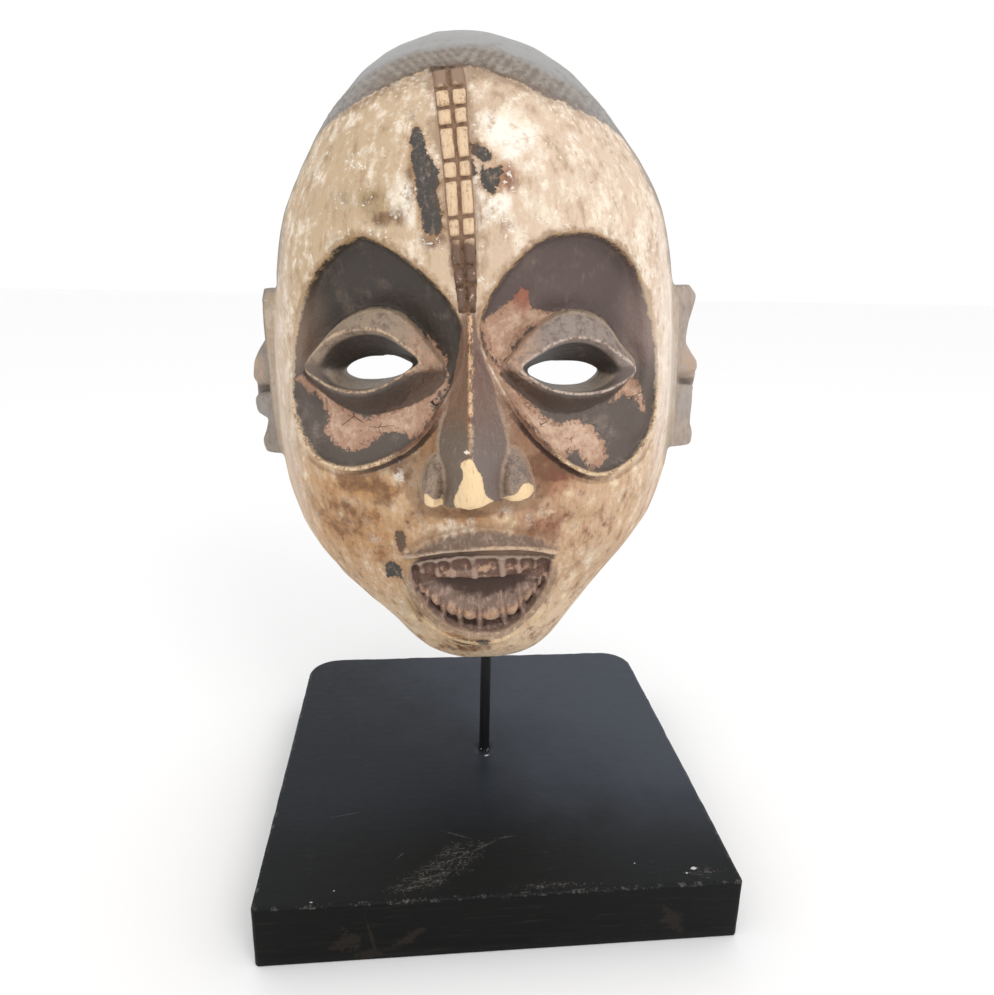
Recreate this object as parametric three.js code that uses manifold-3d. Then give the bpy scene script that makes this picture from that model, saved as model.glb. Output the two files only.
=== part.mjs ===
// A carved wooden face mask of the kind made in Gabon, held up by a thin metal rod on a square board.
// Millimetres, +Z up. The origin is the middle of the board's underside, and the face looks along -Y.
import * as THREE from 'three';
import { mergeVertices } from 'three/addons/utils/BufferGeometryUtils.js';
import Module from 'manifold-3d';

const wasm = await Module();
wasm.setup();

// Board
const BASE_WIDTH = 210;
const BASE_DEPTH = 210;
const BASE_HEIGHT = 30;
const BASE_BACK_CORNER = 18;
const BASE_FRONT_CORNER = 2;

// Rod
const ROD_DIAMETER = 5.5;
const ROD_IN_BASE = 18;
const ROD_IN_CHIN = 14;
const ROD_SIDES = 20;
const GAP = 0.3;
const CHIN_CLEARANCE = 57;

// Mask. Its carving is drawn at DRAWN_HEIGHT and grows with MASK_HEIGHT; its walls keep their own sizes.
const MASK_HEIGHT = 299;
const SIDE_WALL = 13;
const FRONT_WALL = 22;
const CHIN_WALL = 27;
const CROWN_WALL = 16;
const MASK_TURN = THREE.MathUtils.degToRad(-6.4);
const MASK_LEAN = THREE.MathUtils.degToRad(-2.4);
const MASK_SHIFT = -3;
const DRAWN_HEIGHT = 299;
const GROWTH = MASK_HEIGHT / DRAWN_HEIGHT;
const ROD_SETBACK = 40 * GROWTH;

// How finely the curved surfaces are cut into facets
const SECTION_STEPS = 28;
const OUTLINE_STEPS = 24;
const BURIED = 6;

// The mask is drawn in its own frame: x to the viewer's right, depth from the flat back rim towards the
// viewer, z up from under the chin. Each station gives a height, half the width there and the depth of
// the middle line.
const STATIONS = [
  [0, 24, 30], [4, 33.8, 50], [12, 42.5, 62], [27, 52.6, 73], [40, 63.5, 79], [54, 75.6, 84],
  [80, 92.5, 90.5], [106, 98.5, 95], [145, 100.5, 99.5], [190, 95.4, 102], [219, 89.5, 99.5],
  [250, 73, 89], [272, 54.4, 73], [286, 37.4, 51], [295, 18.5, 25.5], [299, 2, 3],
];
// The block was carved by eye, so its middle line wanders: height, sideways drift
const DRIFT = [
  [0, 1], [12, 1.2], [27, 0.8], [54, -1.9], [80, -0.9], [106, 0], [165, 1.5], [219, 1.9], [250, 1.2],
  [272, 0.4], [286, -0.8], [299, -1],
];
const SECTION_POWER = 2.35;

const MIDDLE = 3;
const EYE_OFFSET = 45;
const EYE_HEIGHT = 158.5;
const EYE_TILT = 2;

// A smooth rise through the rows of a table, which never overshoots them
function smoothTable(rows, column) {
  const slopes = rows.map((row, i) => {
    if (i === 0 || i === rows.length - 1) return 0;
    const before = (row[column] - rows[i - 1][column]) / (row[0] - rows[i - 1][0]);
    const after = (rows[i + 1][column] - row[column]) / (rows[i + 1][0] - row[0]);
    return before * after <= 0 ? 0 : 2 / (1 / before + 1 / after);
  });
  const last = rows.length - 1;
  slopes[0] = (rows[1][column] - rows[0][column]) / (rows[1][0] - rows[0][0]);
  slopes[last] = (rows[last][column] - rows[last - 1][column]) / (rows[last][0] - rows[last - 1][0]);
  return (z) => {
    const clamped = THREE.MathUtils.clamp(z, rows[0][0], rows[last][0]);
    let i = 0;
    while (i < last - 1 && clamped > rows[i + 1][0]) i += 1;
    const span = rows[i + 1][0] - rows[i][0];
    const t = (clamped - rows[i][0]) / span;
    const rise = (3 - 2 * t) * t * t;
    const start = t * (1 - t) * (1 - t) * span;
    const end = t * t * (t - 1) * span;
    const level = rows[i][column] * (1 - rise) + rows[i + 1][column] * rise;
    return level + slopes[i] * start + slopes[i + 1] * end;
  };
}

const halfWidth = smoothTable(STATIONS, 1);
const middleDepth = smoothTable(STATIONS, 2);
const drift = smoothTable(DRIFT, 1);

function depthAt(x, z) {
  const share = Math.min(Math.abs(x - drift(z)) / halfWidth(z), 1);
  return middleDepth(z) * (1 - share ** SECTION_POWER) ** (1 / SECTION_POWER);
}

// A point over the face at (x, z), lifted along the surface's own normal
function onFace(x, z, lift = 0) {
  const step = 1.5;
  const slopeX = (depthAt(x + step, z) - depthAt(x - step, z)) / (2 * step);
  const slopeZ = (depthAt(x, z + step) - depthAt(x, z - step)) / (2 * step);
  const normal = new THREE.Vector3(-slopeX, -1, -slopeZ).normalize();
  return new THREE.Vector3(x, -depthAt(x, z), z).addScaledVector(normal, lift);
}

// A closed solid through rings of equal length, each end closed by a fan to its centre
function loft(rings) {
  const count = rings[0].length;
  const points = rings.flat();
  const centreOf = (ring) => ring.reduce((sum, p) => sum.add(p), new THREE.Vector3()).divideScalar(count);
  const first = points.length;
  points.push(centreOf(rings[0]), centreOf(rings[rings.length - 1]));
  const index = [];
  for (let r = 0; r < rings.length - 1; r += 1) {
    for (let i = 0; i < count; i += 1) {
      const a = r * count + i;
      const b = r * count + ((i + 1) % count);
      index.push(a, b, b + count, a, b + count, a + count);
    }
  }
  const top = (rings.length - 1) * count;
  for (let i = 0; i < count; i += 1) {
    const next = (i + 1) % count;
    index.push(first, next, i);
    index.push(first + 1, top + i, top + next);
  }
  return solidFrom(points, index);
}

function solidFrom(points, index) {
  let volume = 0;
  for (let i = 0; i < index.length; i += 3) {
    const [a, b, c] = [points[index[i]], points[index[i + 1]], points[index[i + 2]]];
    volume += a.dot(b.clone().cross(c));
  }
  const facing = volume > 0 ? index : index.slice().reverse();
  return new wasm.Manifold(new wasm.Mesh({
    numProp: 3,
    vertProperties: new Float32Array(points.flatMap((p) => p.toArray())),
    triVerts: new Uint32Array(facing),
  }));
}

function solidOf(geometry) {
  const bare = geometry.clone();
  bare.deleteAttribute('normal');
  bare.deleteAttribute('uv');
  const merged = mergeVertices(bare, 1e-4);
  return new wasm.Manifold(new wasm.Mesh({
    numProp: 3,
    vertProperties: new Float32Array(merged.attributes.position.array),
    triVerts: new Uint32Array(merged.index.array),
  }));
}

function geometryOf(solid) {
  const mesh = solid.getMesh();
  const geometry = new THREE.BufferGeometry();
  geometry.setAttribute('position', new THREE.BufferAttribute(new Float32Array(mesh.vertProperties), 3));
  geometry.setIndex(new THREE.BufferAttribute(new Uint32Array(mesh.triVerts), 1));
  geometry.computeVertexNormals();
  return geometry;
}

const join = (solids) => solids.reduce((all, solid) => all.add(solid));

// Outline helpers: lists of [x, z] points on the face
function closedCurve(points, count = OUTLINE_STEPS) {
  const curve = new THREE.CatmullRomCurve3(points.map(([x, z]) => new THREE.Vector3(x, 0, z)), true);
  return curve.getSpacedPoints(count).slice(0, count).map((p) => [p.x, p.z]);
}

function almond({ x, z, half, up, down, tilt = 0, point = 1.2, count = OUTLINE_STEPS }) {
  return Array.from({ length: count }, (_, i) => {
    const angle = (2 * Math.PI * i) / count;
    const side = Math.sin(angle);
    const height = (side > 0 ? up : -down) * Math.abs(side) ** point;
    return [x + half * Math.cos(angle), z + height + tilt * Math.cos(angle)];
  });
}

// A solid that follows the face: layers of one outline, each shrunk towards its centre and lifted
function patch(outline, layers) {
  const centreX = outline.reduce((sum, p) => sum + p[0], 0) / outline.length;
  const centreZ = outline.reduce((sum, p) => sum + p[1], 0) / outline.length;
  return loft(layers.map(({ share, lift }) => outline.map(([x, z]) => {
    const height = typeof lift === 'function' ? lift(x, z) : lift;
    return onFace(centreX + (x - centreX) * share, centreZ + (z - centreZ) * share, height);
  })));
}

// A raised ridge along a path of [x, z] points
function ridge(path, half, height) {
  const rings = path.map(([x, z], i) => {
    const [ax, az] = path[Math.max(i - 1, 0)];
    const [bx, bz] = path[Math.min(i + 1, path.length - 1)];
    const length = Math.hypot(bx - ax, bz - az);
    const [nx, nz] = [(az - bz) / length, (bx - ax) / length];
    const across = [[-1, -BURIED], [-1, 0], [-0.45, height], [0.45, height], [1, 0], [1, -BURIED]];
    return across.map(([side, lift]) => onFace(x + nx * side * half, z + nz * side * half, lift));
  });
  return loft(rings);
}

// The block's outer form, flat behind. Its levels crowd together at the chin and the crown, which curve most.
function maskBody() {
  const levels = 24;
  const crowding = 0.1;
  const evening = 0.0114;
  const heights = Array.from({ length: levels }, (_, i) => {
    const t = i / (levels - 1);
    const crowded = crowding * Math.sin(2 * Math.PI * t) + evening * Math.sin(4 * Math.PI * t);
    return DRAWN_HEIGHT * (t - crowded);
  });
  const rings = heights.map((z) => Array.from({ length: SECTION_STEPS + 1 }, (_, i) => {
    const share = -Math.cos((Math.PI * i) / SECTION_STEPS);
    const x = drift(z) + halfWidth(z) * share;
    return new THREE.Vector3(x, -depthAt(x, z), z);
  }));
  return loft(rings);
}

// The hollow behind the face, from behind the rim to its walls, rounded at the chin and the crown
function hollow() {
  const levels = 15;
  const steps = 18;
  const [floor, ceiling] = [CHIN_WALL, MASK_HEIGHT - CROWN_WALL];
  const rounding = 16;
  const inside = (profile, drawn, wall) => {
    const slope = THREE.MathUtils.clamp(profile(drawn + 1) - profile(drawn - 1), -3.5, 3.5) / 2;
    return profile(drawn) * GROWTH - wall * Math.hypot(1, slope);
  };
  return loft(Array.from({ length: levels }, (_, i) => {
    const share = (1 - Math.cos((Math.PI * i) / (levels - 1))) / 2;
    const z = THREE.MathUtils.lerp(floor, ceiling, share);
    const drawn = z / GROWTH;
    const toEnd = Math.min(z - floor, ceiling - z) / rounding;
    const round = 0.55 + 0.45 * Math.sqrt(1 - (1 - Math.min(toEnd, 1)) ** 2);
    const half = inside(halfWidth, drawn, SIDE_WALL) * round;
    const deep = inside(middleDepth, drawn, FRONT_WALL) * round;
    const shift = drift(drawn) * GROWTH;
    const ring = [];
    for (let k = 0; k <= steps; k += 1) {
      const across = -Math.cos((Math.PI * k) / steps);
      const curve = (1 - Math.abs(across) ** SECTION_POWER) ** (1 / SECTION_POWER);
      ring.push(new THREE.Vector3(shift + half * across, -deep * curve, z));
    }
    ring.push(new THREE.Vector3(shift + half, BURIED, z));
    ring.push(new THREE.Vector3(shift - half, BURIED, z));
    return ring;
  }));
}

// Places on the two eyes: side is -1 at the viewer's left and 1 at the right
const eyeX = (side, offset) => MIDDLE + side * offset;
const eyeZ = (side) => EYE_HEIGHT - side * EYE_TILT;

function socketOutline(side) {
  const points = [
    [81, 143], [78, 168], [62, 197], [42, 209], [22, 200], [7, 183], [6, 162], [14, 143], [33, 123],
    [57, 114], [77, 122],
  ];
  const sag = (z) => (side > 0 ? 4 : -1) * THREE.MathUtils.clamp((165 - z) / 50, 0, 1);
  return closedCurve(points.map(([offset, z]) => [eyeX(side, offset), z - sag(z)]), 28);
}

function socketCut(side) {
  const steep = (upper, lower) => (x, z) => -THREE.MathUtils.mapLinear(z, 110, 209, lower, upper);
  return patch(socketOutline(side), [
    { share: 1.03, lift: 12 },
    { share: 1, lift: 0 },
    { share: 0.95, lift: steep(6.5, 2.5) },
    { share: 0.8, lift: steep(8.5, 5) },
    { share: 0.45, lift: -9 },
  ]);
}

function socketRim(side) {
  const outline = socketOutline(side);
  const lower = outline.filter(([, z]) => z < 150).sort((a, b) => (a[0] - b[0]) * side);
  return ridge(lower, 1.9, 2.6);
}

function eyelids(side) {
  const outline = almond({
    x: eyeX(side, EYE_OFFSET - 2), z: eyeZ(side), half: 33, up: 24, down: 19, tilt: -side * 1.5,
  });
  return patch(outline, [
    { share: 1, lift: -14 },
    { share: 1, lift: -8.5 },
    { share: 0.88, lift: -3 },
    { share: 0.7, lift: 0.5 },
    { share: 0.4, lift: 2 },
  ]);
}

function eyeHole(side) {
  const lens = almond({
    x: eyeX(side, EYE_OFFSET), z: eyeZ(side) + 1, half: 26, up: 14, down: 11, tilt: -side * 2.5,
  });
  const slit = almond({
    x: eyeX(side, EYE_OFFSET - 6.5), z: eyeZ(side) - 3, half: 14.5, up: 5.7, down: 5.2, tilt: -side * 0.6,
  });
  const atDepth = (outline, depth, share = 1) => {
    const [cx, cz] = [eyeX(side, EYE_OFFSET), eyeZ(side)];
    return outline.map(([x, z]) => new THREE.Vector3(cx + (x - cx) * share, -depth, cz + (z - cz) * share));
  };
  return loft([
    lens.map(([x, z]) => onFace(x, z, 14)),
    lens.map(([x, z]) => onFace(x, z, 1)),
    atDepth(slit, 80),
    atDepth(slit, 74),
    atDepth(slit, 40),
  ]);
}

// The nose is a sharp wedge from the brow to a flat underside: height, left foot, right foot, ridge depth
function nose() {
  const levels = [
    [188, -1, 4.5, 101], [174, -2.5, 6.5, 104.5], [153, -5, 10, 109], [134, -10, 16.5, 114.5],
    [122, -15, 21, 118], [112, -17, 23, 119.5], [105, -16, 22.5, 118.5], [102.5, -13, 19, 114],
  ];
  const ridgeX = 1.4;
  const back = -80;
  const rings = levels.map(([z, left, right, tip]) => {
    const foot = depthAt(ridgeX, z) - 7;
    const slope = (side, share, rise) => new THREE.Vector3(
      THREE.MathUtils.lerp(side, ridgeX, share), -THREE.MathUtils.lerp(foot, tip, rise), z,
    );
    return [
      new THREE.Vector3(left - 1, back, z), slope(left, 0, 0), slope(left, 0.35, 0.28),
      slope(left, 0.7, 0.66), new THREE.Vector3(ridgeX - 1.1, -tip, z),
      new THREE.Vector3(ridgeX + 1.1, -tip, z), slope(right, 0.7, 0.66),
      slope(right, 0.35, 0.28), slope(right, 0, 0),
      new THREE.Vector3(right + 1, back, z),
    ];
  });
  const wing = (x, z) => {
    const ball = new THREE.SphereGeometry(1, 12, 7);
    ball.scale(8.2, 11, 10);
    ball.rotateY(Math.sign(x - MIDDLE) * 0.35);
    ball.translate(x, -99, z);
    return solidOf(ball);
  };
  const under = new THREE.BoxGeometry(80, 60, 20);
  under.rotateY(-0.03);
  under.translate(MIDDLE, -110, 102.5 - 10);
  return join([loft(rings), wing(-12, 112), wing(18.5, 113.5)]).subtract(solidOf(under));
}

const MOUTH = { x: 3, z: 70, half: 34, drop: 38, tilt: 0.045 };

function mouthArc(half, drop, count, from = 0, to = 1) {
  return Array.from({ length: count }, (_, i) => {
    const angle = Math.PI * THREE.MathUtils.lerp(from, to, i / (count - 1));
    const x = -half * Math.cos(angle);
    return [MOUTH.x + x, MOUTH.z - drop * Math.sin(angle) ** 0.85 + x * MOUTH.tilt];
  });
}

function mouthPocket() {
  const arc = mouthArc(MOUTH.half, MOUTH.drop, 20);
  const top = [0.6, 0.2, -0.2, -0.6].map((share) => {
    const x = MOUTH.half * share;
    return [MOUTH.x + x, MOUTH.z + 4.5 + x * MOUTH.tilt];
  });
  return patch([...arc, ...top], [
    { share: 1.02, lift: 12 },
    { share: 1, lift: 0 },
    { share: 0.86, lift: -10 },
  ]);
}

function lips() {
  const lower = ridge(mouthArc(MOUTH.half + 2.5, MOUTH.drop + 3.5, 18, 0.03, 0.97), 2.6, 2.6);
  const crest = Array.from({ length: 18 }, (_, i) => {
    const share = THREE.MathUtils.lerp(-1, 1, i / 17);
    return [share * (MOUTH.half + 1), 7 + 11 * (1 - share * share) ** 0.8];
  });
  const edge = crest.slice(1, -1).reverse().map(([x]) => [x, 4 - 0.001 * x * x]);
  const outline = [...crest, ...edge].map(([x, z]) => [MOUTH.x + x, MOUTH.z + z + x * MOUTH.tilt]);
  const upper = patch(outline, [
    { share: 1, lift: -BURIED },
    { share: 1, lift: 0.6 },
    { share: 0.72, lift: 5 },
  ]);
  return [lower, upper];
}

function tooth(x, z, wide, tall, turn, height) {
  const [cos, sin] = [Math.cos(turn), Math.sin(turn)];
  const corners = [[-1, -1], [1, -1], [1, 1], [-1, 1]];
  const outline = corners.map(([u, v]) => {
    const [a, b] = [(u * wide) / 2, (v * tall) / 2];
    return [x + a * cos - b * sin, z + a * sin + b * cos];
  });
  return patch(outline, [
    { share: 1, lift: -12 },
    { share: 1, lift: height - 1.6 },
    { share: 0.68, lift: height },
  ]);
}

function teeth() {
  const upperCount = 10;
  const upper = Array.from({ length: upperCount }, (_, i) => {
    const x = THREE.MathUtils.lerp(-27, 27, i / (upperCount - 1));
    const row = MOUTH.z - 1.5 + x * MOUTH.tilt;
    return tooth(MOUTH.x + x, row, 5, 11, MOUTH.tilt, -1.5);
  });
  const lowerCount = 8;
  const arc = mouthArc(MOUTH.half - 7, MOUTH.drop - 8, lowerCount, 0.13, 0.87);
  const lower = arc.map(([x, z], i) => {
    const turn = THREE.MathUtils.lerp(-0.75, 0.75, i / (lowerCount - 1));
    return tooth(x, z, 6, 14, turn, -1.5);
  });
  return [...upper, ...lower];
}

// The scar band down the forehead: two columns of raised tablets, long and short by turns
function foreheadBand() {
  const top = 270;
  const foot = 186;
  const tall = [7, 6.5, 11, 6, 13, 6.5, 12, 7, 9.5];
  const groove = (top - foot - tall.reduce((sum, h) => sum + h, 0)) / (tall.length - 1);
  const blocks = [];
  let z = top;
  tall.forEach((height) => {
    const middle = z - height / 2;
    const fall = (top - middle) / (top - foot);
    const left = -10 + 8 * fall ** 0.8;
    const right = 1 + 5 * Math.sin(Math.PI * Math.min(fall, 0.62));
    const split = (left + right) / 2;
    [[left, split - 0.7], [split + 0.7, right]].forEach(([a, b]) => {
      blocks.push(patch([[a, z - height], [b, z - height], [b, z], [a, z]], [
        { share: 1, lift: -BURIED },
        { share: 1, lift: 1.4 },
        { share: 0.8, lift: 2.4 },
      ]));
    });
    z -= height + groove;
  });
  return blocks;
}

// The twisted edge of the cap of hair
function hairline() {
  const count = 27;
  const reach = 63;
  return Array.from({ length: count }, (_, i) => {
    const x = THREE.MathUtils.lerp(-reach, reach, i / (count - 1));
    const z = 274.5 - 21 * (Math.abs(x) / 66) ** 1.3;
    const slant = 1.6;
    const outline = [[x - 1.9 - slant, z - 3.2], [x + 1.9 - slant, z - 3.2], [x + 1.9 + slant, z + 3.2],
      [x - 1.9 + slant, z + 3.2]];
    return patch(outline, [{ share: 1, lift: -3 }, { share: 1, lift: 0.7 }, { share: 0.7, lift: 1.8 }]);
  });
}

// An ear in relief: a plate, a raised rim open towards the face, and a knob in front of the opening
function ear(side) {
  const middle = 149 - side * 1.5;
  const disc = (deep, tall, count = 22) => Array.from({ length: count }, (_, i) => {
    const angle = (2 * Math.PI * i) / count;
    return new THREE.Vector2(deep * Math.cos(angle), tall * Math.sin(angle));
  });
  const slab = (shape, inner, outer) => {
    const geometry = new THREE.ExtrudeGeometry(shape, { depth: outer - inner, bevelEnabled: false });
    geometry.rotateX(Math.PI / 2);
    geometry.rotateZ(Math.PI / 2);
    geometry.translate(inner, 0, 0);
    if (side < 0) geometry.rotateZ(Math.PI);
    return geometry;
  };
  const place = (geometry, depth, z) => {
    geometry.translate(0, -depth, z);
    return solidOf(geometry);
  };
  const rimInner = 84;
  const plate = place(slab(new THREE.Shape(disc(17, 38)), rimInner, 97), 28, middle);
  const rim = place(slab(new THREE.Shape(disc(19, 40)), rimInner, 104), 28, middle);
  const dip = place(slab(new THREE.Shape(disc(12, 31)), 97, 120), 31, middle);
  const mouth = new THREE.BoxGeometry(24, 24, 30);
  mouth.translate(side * 109, -47, middle + 2);
  const knob = new THREE.SphereGeometry(1, 12, 8);
  knob.scale(12.3, 11, 17);
  knob.translate(side * 96.5, -36, middle - 6);
  return rim.subtract(dip).subtract(solidOf(mouth)).add(plate).add(solidOf(knob));
}

function maskGeometry(rodCut) {
  const sides = [-1, 1];
  let carved = maskBody();
  sides.forEach((side) => {
    carved = carved.subtract(socketCut(side));
  });
  carved = carved.add(join([...sides.map(eyelids), ...sides.map(socketRim), nose(), ...sides.map(ear)]));
  carved = carved.subtract(mouthPocket());
  carved = carved.add(join([...lips(), ...teeth(), ...foreheadBand(), ...hairline()]));
  sides.forEach((side) => {
    carved = carved.subtract(eyeHole(side));
  });
  return geometryOf(carved.scale([GROWTH, GROWTH, GROWTH]).subtract(hollow()).subtract(rodCut));
}

function baseGeometry(rodCut) {
  const [x, y] = [BASE_WIDTH / 2, BASE_DEPTH / 2];
  const [back, front] = [BASE_BACK_CORNER, BASE_FRONT_CORNER];
  const shape = new THREE.Shape();
  shape.moveTo(-x + front, -y);
  shape.lineTo(x - front, -y);
  shape.quadraticCurveTo(x, -y, x, -y + front);
  shape.lineTo(x, y - back);
  shape.absarc(x - back, y - back, back, 0, Math.PI / 2);
  shape.lineTo(-x + back, y);
  shape.absarc(-x + back, y - back, back, Math.PI / 2, Math.PI);
  shape.lineTo(-x, -y + front);
  shape.quadraticCurveTo(-x, -y, -x + front, -y);
  const board = new THREE.ExtrudeGeometry(shape, {
    depth: BASE_HEIGHT, bevelEnabled: false, curveSegments: 8,
  });
  return geometryOf(solidOf(board).subtract(rodCut));
}

function rodGeometry(radius, from, to) {
  const rod = new THREE.CylinderGeometry(radius, radius, to - from, ROD_SIDES);
  rod.rotateX(Math.PI / 2);
  rod.translate(0, 0, (from + to) / 2);
  return rod;
}

// The mask stands over the board, turned and leaning a little on its rod
const turned = new THREE.Group();
turned.name = 'mask_turn';
turned.position.z = BASE_HEIGHT + CHIN_CLEARANCE;
turned.rotation.z = MASK_TURN;
const leaning = new THREE.Group();
leaning.name = 'mask_lean';
leaning.rotation.y = MASK_LEAN;
turned.add(leaning);

const rodBottom = BASE_HEIGHT - ROD_IN_BASE;
const chinUnderside = BASE_HEIGHT + CHIN_CLEARANCE + 2 * GROWTH;
const rodTop = chinUnderside + ROD_IN_CHIN;
const holeRadius = ROD_DIAMETER / 2 + GAP;
const holeInBase = rodGeometry(holeRadius, rodBottom - GAP, BASE_HEIGHT + CHIN_CLEARANCE / 2);
const holeInChin = rodGeometry(holeRadius, BASE_HEIGHT + CHIN_CLEARANCE / 2, rodTop + GAP);

const maskMaterial = new THREE.MeshStandardMaterial({ color: 0xb9a88a, roughness: 0.75, metalness: 0 });
const rodMaterial = new THREE.MeshStandardMaterial({ color: 0x17181a, roughness: 0.45, metalness: 0.6 });
const baseMaterial = new THREE.MeshStandardMaterial({ color: 0x141416, roughness: 0.5, metalness: 0 });

const maskPlace = new THREE.Vector3(MASK_SHIFT, ROD_SETBACK, 0);
leaning.updateMatrixWorld(true);
turned.updateMatrixWorld(true);
const toMask = leaning.matrixWorld.clone()
  .multiply(new THREE.Matrix4().makeTranslation(maskPlace)).invert();
const mask = new THREE.Mesh(maskGeometry(solidOf(holeInChin.clone().applyMatrix4(toMask))), maskMaterial);
mask.name = 'mask';
mask.position.copy(maskPlace);
leaning.add(mask);

const rod = new THREE.Mesh(rodGeometry(ROD_DIAMETER / 2, rodBottom, rodTop), rodMaterial);
rod.name = 'rod';

const base = new THREE.Mesh(baseGeometry(solidOf(holeInBase)), baseMaterial);
base.name = 'base';

const part = new THREE.Group();
part.name = 'mask_on_stand';
part.add(turned, rod, base);

export default part;
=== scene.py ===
"""A carved and whitened wooden face mask on its display stand, finished for rendering.

The mask is drawn in millimetres in its own frame: x to the viewer's right, d from the flat back rim
towards the viewer, z up from under the chin. Its surface is the zero level of a field on a fine
grid, turned into one closed mesh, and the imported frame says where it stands.
"""
import functools
import math

import bpy
import numpy as np
from mathutils import Matrix, Vector


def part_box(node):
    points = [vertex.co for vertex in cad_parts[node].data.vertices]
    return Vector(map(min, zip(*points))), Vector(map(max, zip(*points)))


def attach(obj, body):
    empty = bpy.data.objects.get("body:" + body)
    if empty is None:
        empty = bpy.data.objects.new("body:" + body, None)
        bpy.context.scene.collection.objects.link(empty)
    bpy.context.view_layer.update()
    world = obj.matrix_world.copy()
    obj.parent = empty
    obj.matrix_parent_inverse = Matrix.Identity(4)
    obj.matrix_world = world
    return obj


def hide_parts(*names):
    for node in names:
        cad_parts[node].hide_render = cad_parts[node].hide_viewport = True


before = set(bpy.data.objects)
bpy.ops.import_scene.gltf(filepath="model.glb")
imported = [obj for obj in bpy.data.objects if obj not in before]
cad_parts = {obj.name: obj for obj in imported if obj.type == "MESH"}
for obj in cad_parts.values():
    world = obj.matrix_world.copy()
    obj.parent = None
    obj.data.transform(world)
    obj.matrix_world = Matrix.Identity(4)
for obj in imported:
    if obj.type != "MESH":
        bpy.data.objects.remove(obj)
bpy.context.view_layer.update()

MM = 0.001
# The grid's step in mm, the mask's triangles, and how strongly its outside is kept when it is thinned out
VOXEL = 0.85
TRIANGLES = 188000
OUTSIDE_WEIGHT = 0.15
WEIGHT_FACTOR = 8e-6

# How the mask stands on its rod
MASK_TURN = math.radians(-6.4)
MASK_LEAN = math.radians(-2.4)
MASK_SHIFT = -3.0
ROD_SETBACK = 40.0
CHIN_CLEARANCE = 57.0
BASE_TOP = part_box("base")[1].z / MM
CHIN_LEVEL = BASE_TOP + CHIN_CLEARANCE

# The rod, and the clearance of the holes that it stands in
rod_low, rod_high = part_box("rod")
ROD_RADIUS = (rod_high.x - rod_low.x) / 2 / MM
ROD_GAP = 0.3
HOLE_IN_CHIN = rod_high.z / MM - CHIN_LEVEL + ROD_GAP
HOLE_IN_BASE = BASE_TOP - rod_low.z / MM + ROD_GAP

# The mask's form: height, half the width there, depth of the middle line
STATIONS = [
    (0, 24, 30), (4, 33.8, 50), (12, 42.5, 62), (27, 52.6, 73), (40, 63.5, 79), (54, 75.6, 84),
    (80, 92.5, 90.5), (106, 98.5, 95), (145, 100.5, 99.5), (190, 95.4, 102), (219, 89.5, 99.5),
    (250, 73, 89), (272, 54.4, 73), (286, 37.4, 51), (295, 18.5, 25.5), (299, 2, 3),
]
DRIFT = [(0, 1), (12, 1.2), (27, 0.8), (54, -1.9), (80, -0.9), (106, 0), (165, 1.5), (219, 1.9), (250, 1.2),
         (272, 0.4), (286, -0.8), (299, -1)]
SECTION_POWER = 2.35
TOP = 299.0
SIDE_WALL = 12.0
FRONT_WALL = 21.0
CHIN_WALL = 27.0
CROWN_WALL = 15.0
MIDDLE = 3.0
# The line between an eye's lids: its height at the middle of the face, and its fall towards the right
EYE_LINE = 157.5
EYE_TILT = 0.03
# How far under their top edge the upper teeth end
TEETH_DROP = 12.5
# A relief far below any other, where a form isn't there
NOWHERE = -30
# How far a noise texture moves for each step of its seed, and the gain that brings it to about -1 to 1
SEED_SHIFT = (7.31, 3.17, 5.53)
NOISE_GAIN = 5.5


def smoothstep(low, high, value):
    t = np.clip((value - low) / (high - low), 0, 1)
    return t * t * (3 - 2 * t)


def bump(value, width):
    return np.exp(-((value / width) ** 2))


def smooth_max(a, b, blend):
    t = np.clip(0.5 + 0.5 * (a - b) / blend, 0, 1)
    return b + (a - b) * t + blend * t * (1 - t)


def smooth_min(a, b, blend):
    return -smooth_max(-a, -b, blend)


def table(rows, column, at):
    """A smooth rise through the rows of a table, which never overshoots them."""
    x = np.array([row[0] for row in rows], float)
    y = np.array([row[column] for row in rows], float)
    rise = np.diff(y) / np.diff(x)
    slope = np.zeros(len(x))
    slope[0] = rise[0]
    slope[-1] = rise[-1]
    for i in range(1, len(x) - 1):
        if rise[i - 1] * rise[i] > 0:
            slope[i] = 2 * rise[i - 1] * rise[i] / (rise[i - 1] + rise[i])
    at = np.clip(at, x[0], x[-1])
    i = np.clip(np.searchsorted(x, at) - 1, 0, len(x) - 2)
    span = x[i + 1] - x[i]
    t = (at - x[i]) / span
    keep = (1 + 2 * t) * (1 - t) ** 2
    bend = t * (1 - t) ** 2 * slope[i] + t * t * (t - 1) * slope[i + 1]
    return y[i] * keep + y[i + 1] * (1 - keep) + span * bend


def straight(rows, at):
    """Straight runs through the rows of a table of two columns."""
    return np.interp(at, *np.array(rows).T)


def curve(points, closed=True, steps=10):
    """Points along a smooth curve through the given ones."""
    p = np.array(points, float)
    if closed:
        p = np.vstack([p[-1], p, p[0], p[1]])
    else:
        p = np.vstack([2 * p[0] - p[1], p, 2 * p[-1] - p[-2]])
    t = np.linspace(0, 1, steps, endpoint=False)[:, None]
    runs = []
    for a, b, c, e in zip(p[:-3], p[1:-2], p[2:-1], p[3:]):
        square, cube = 2 * a - 5 * b + 4 * c - e, 3 * b - a - 3 * c + e
        runs.append(0.5 * (2 * b + (c - a) * t + square * t**2 + cube * t**3))
    if not closed:
        runs.append(p[-2:-1])
    return np.vstack(runs)


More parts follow.
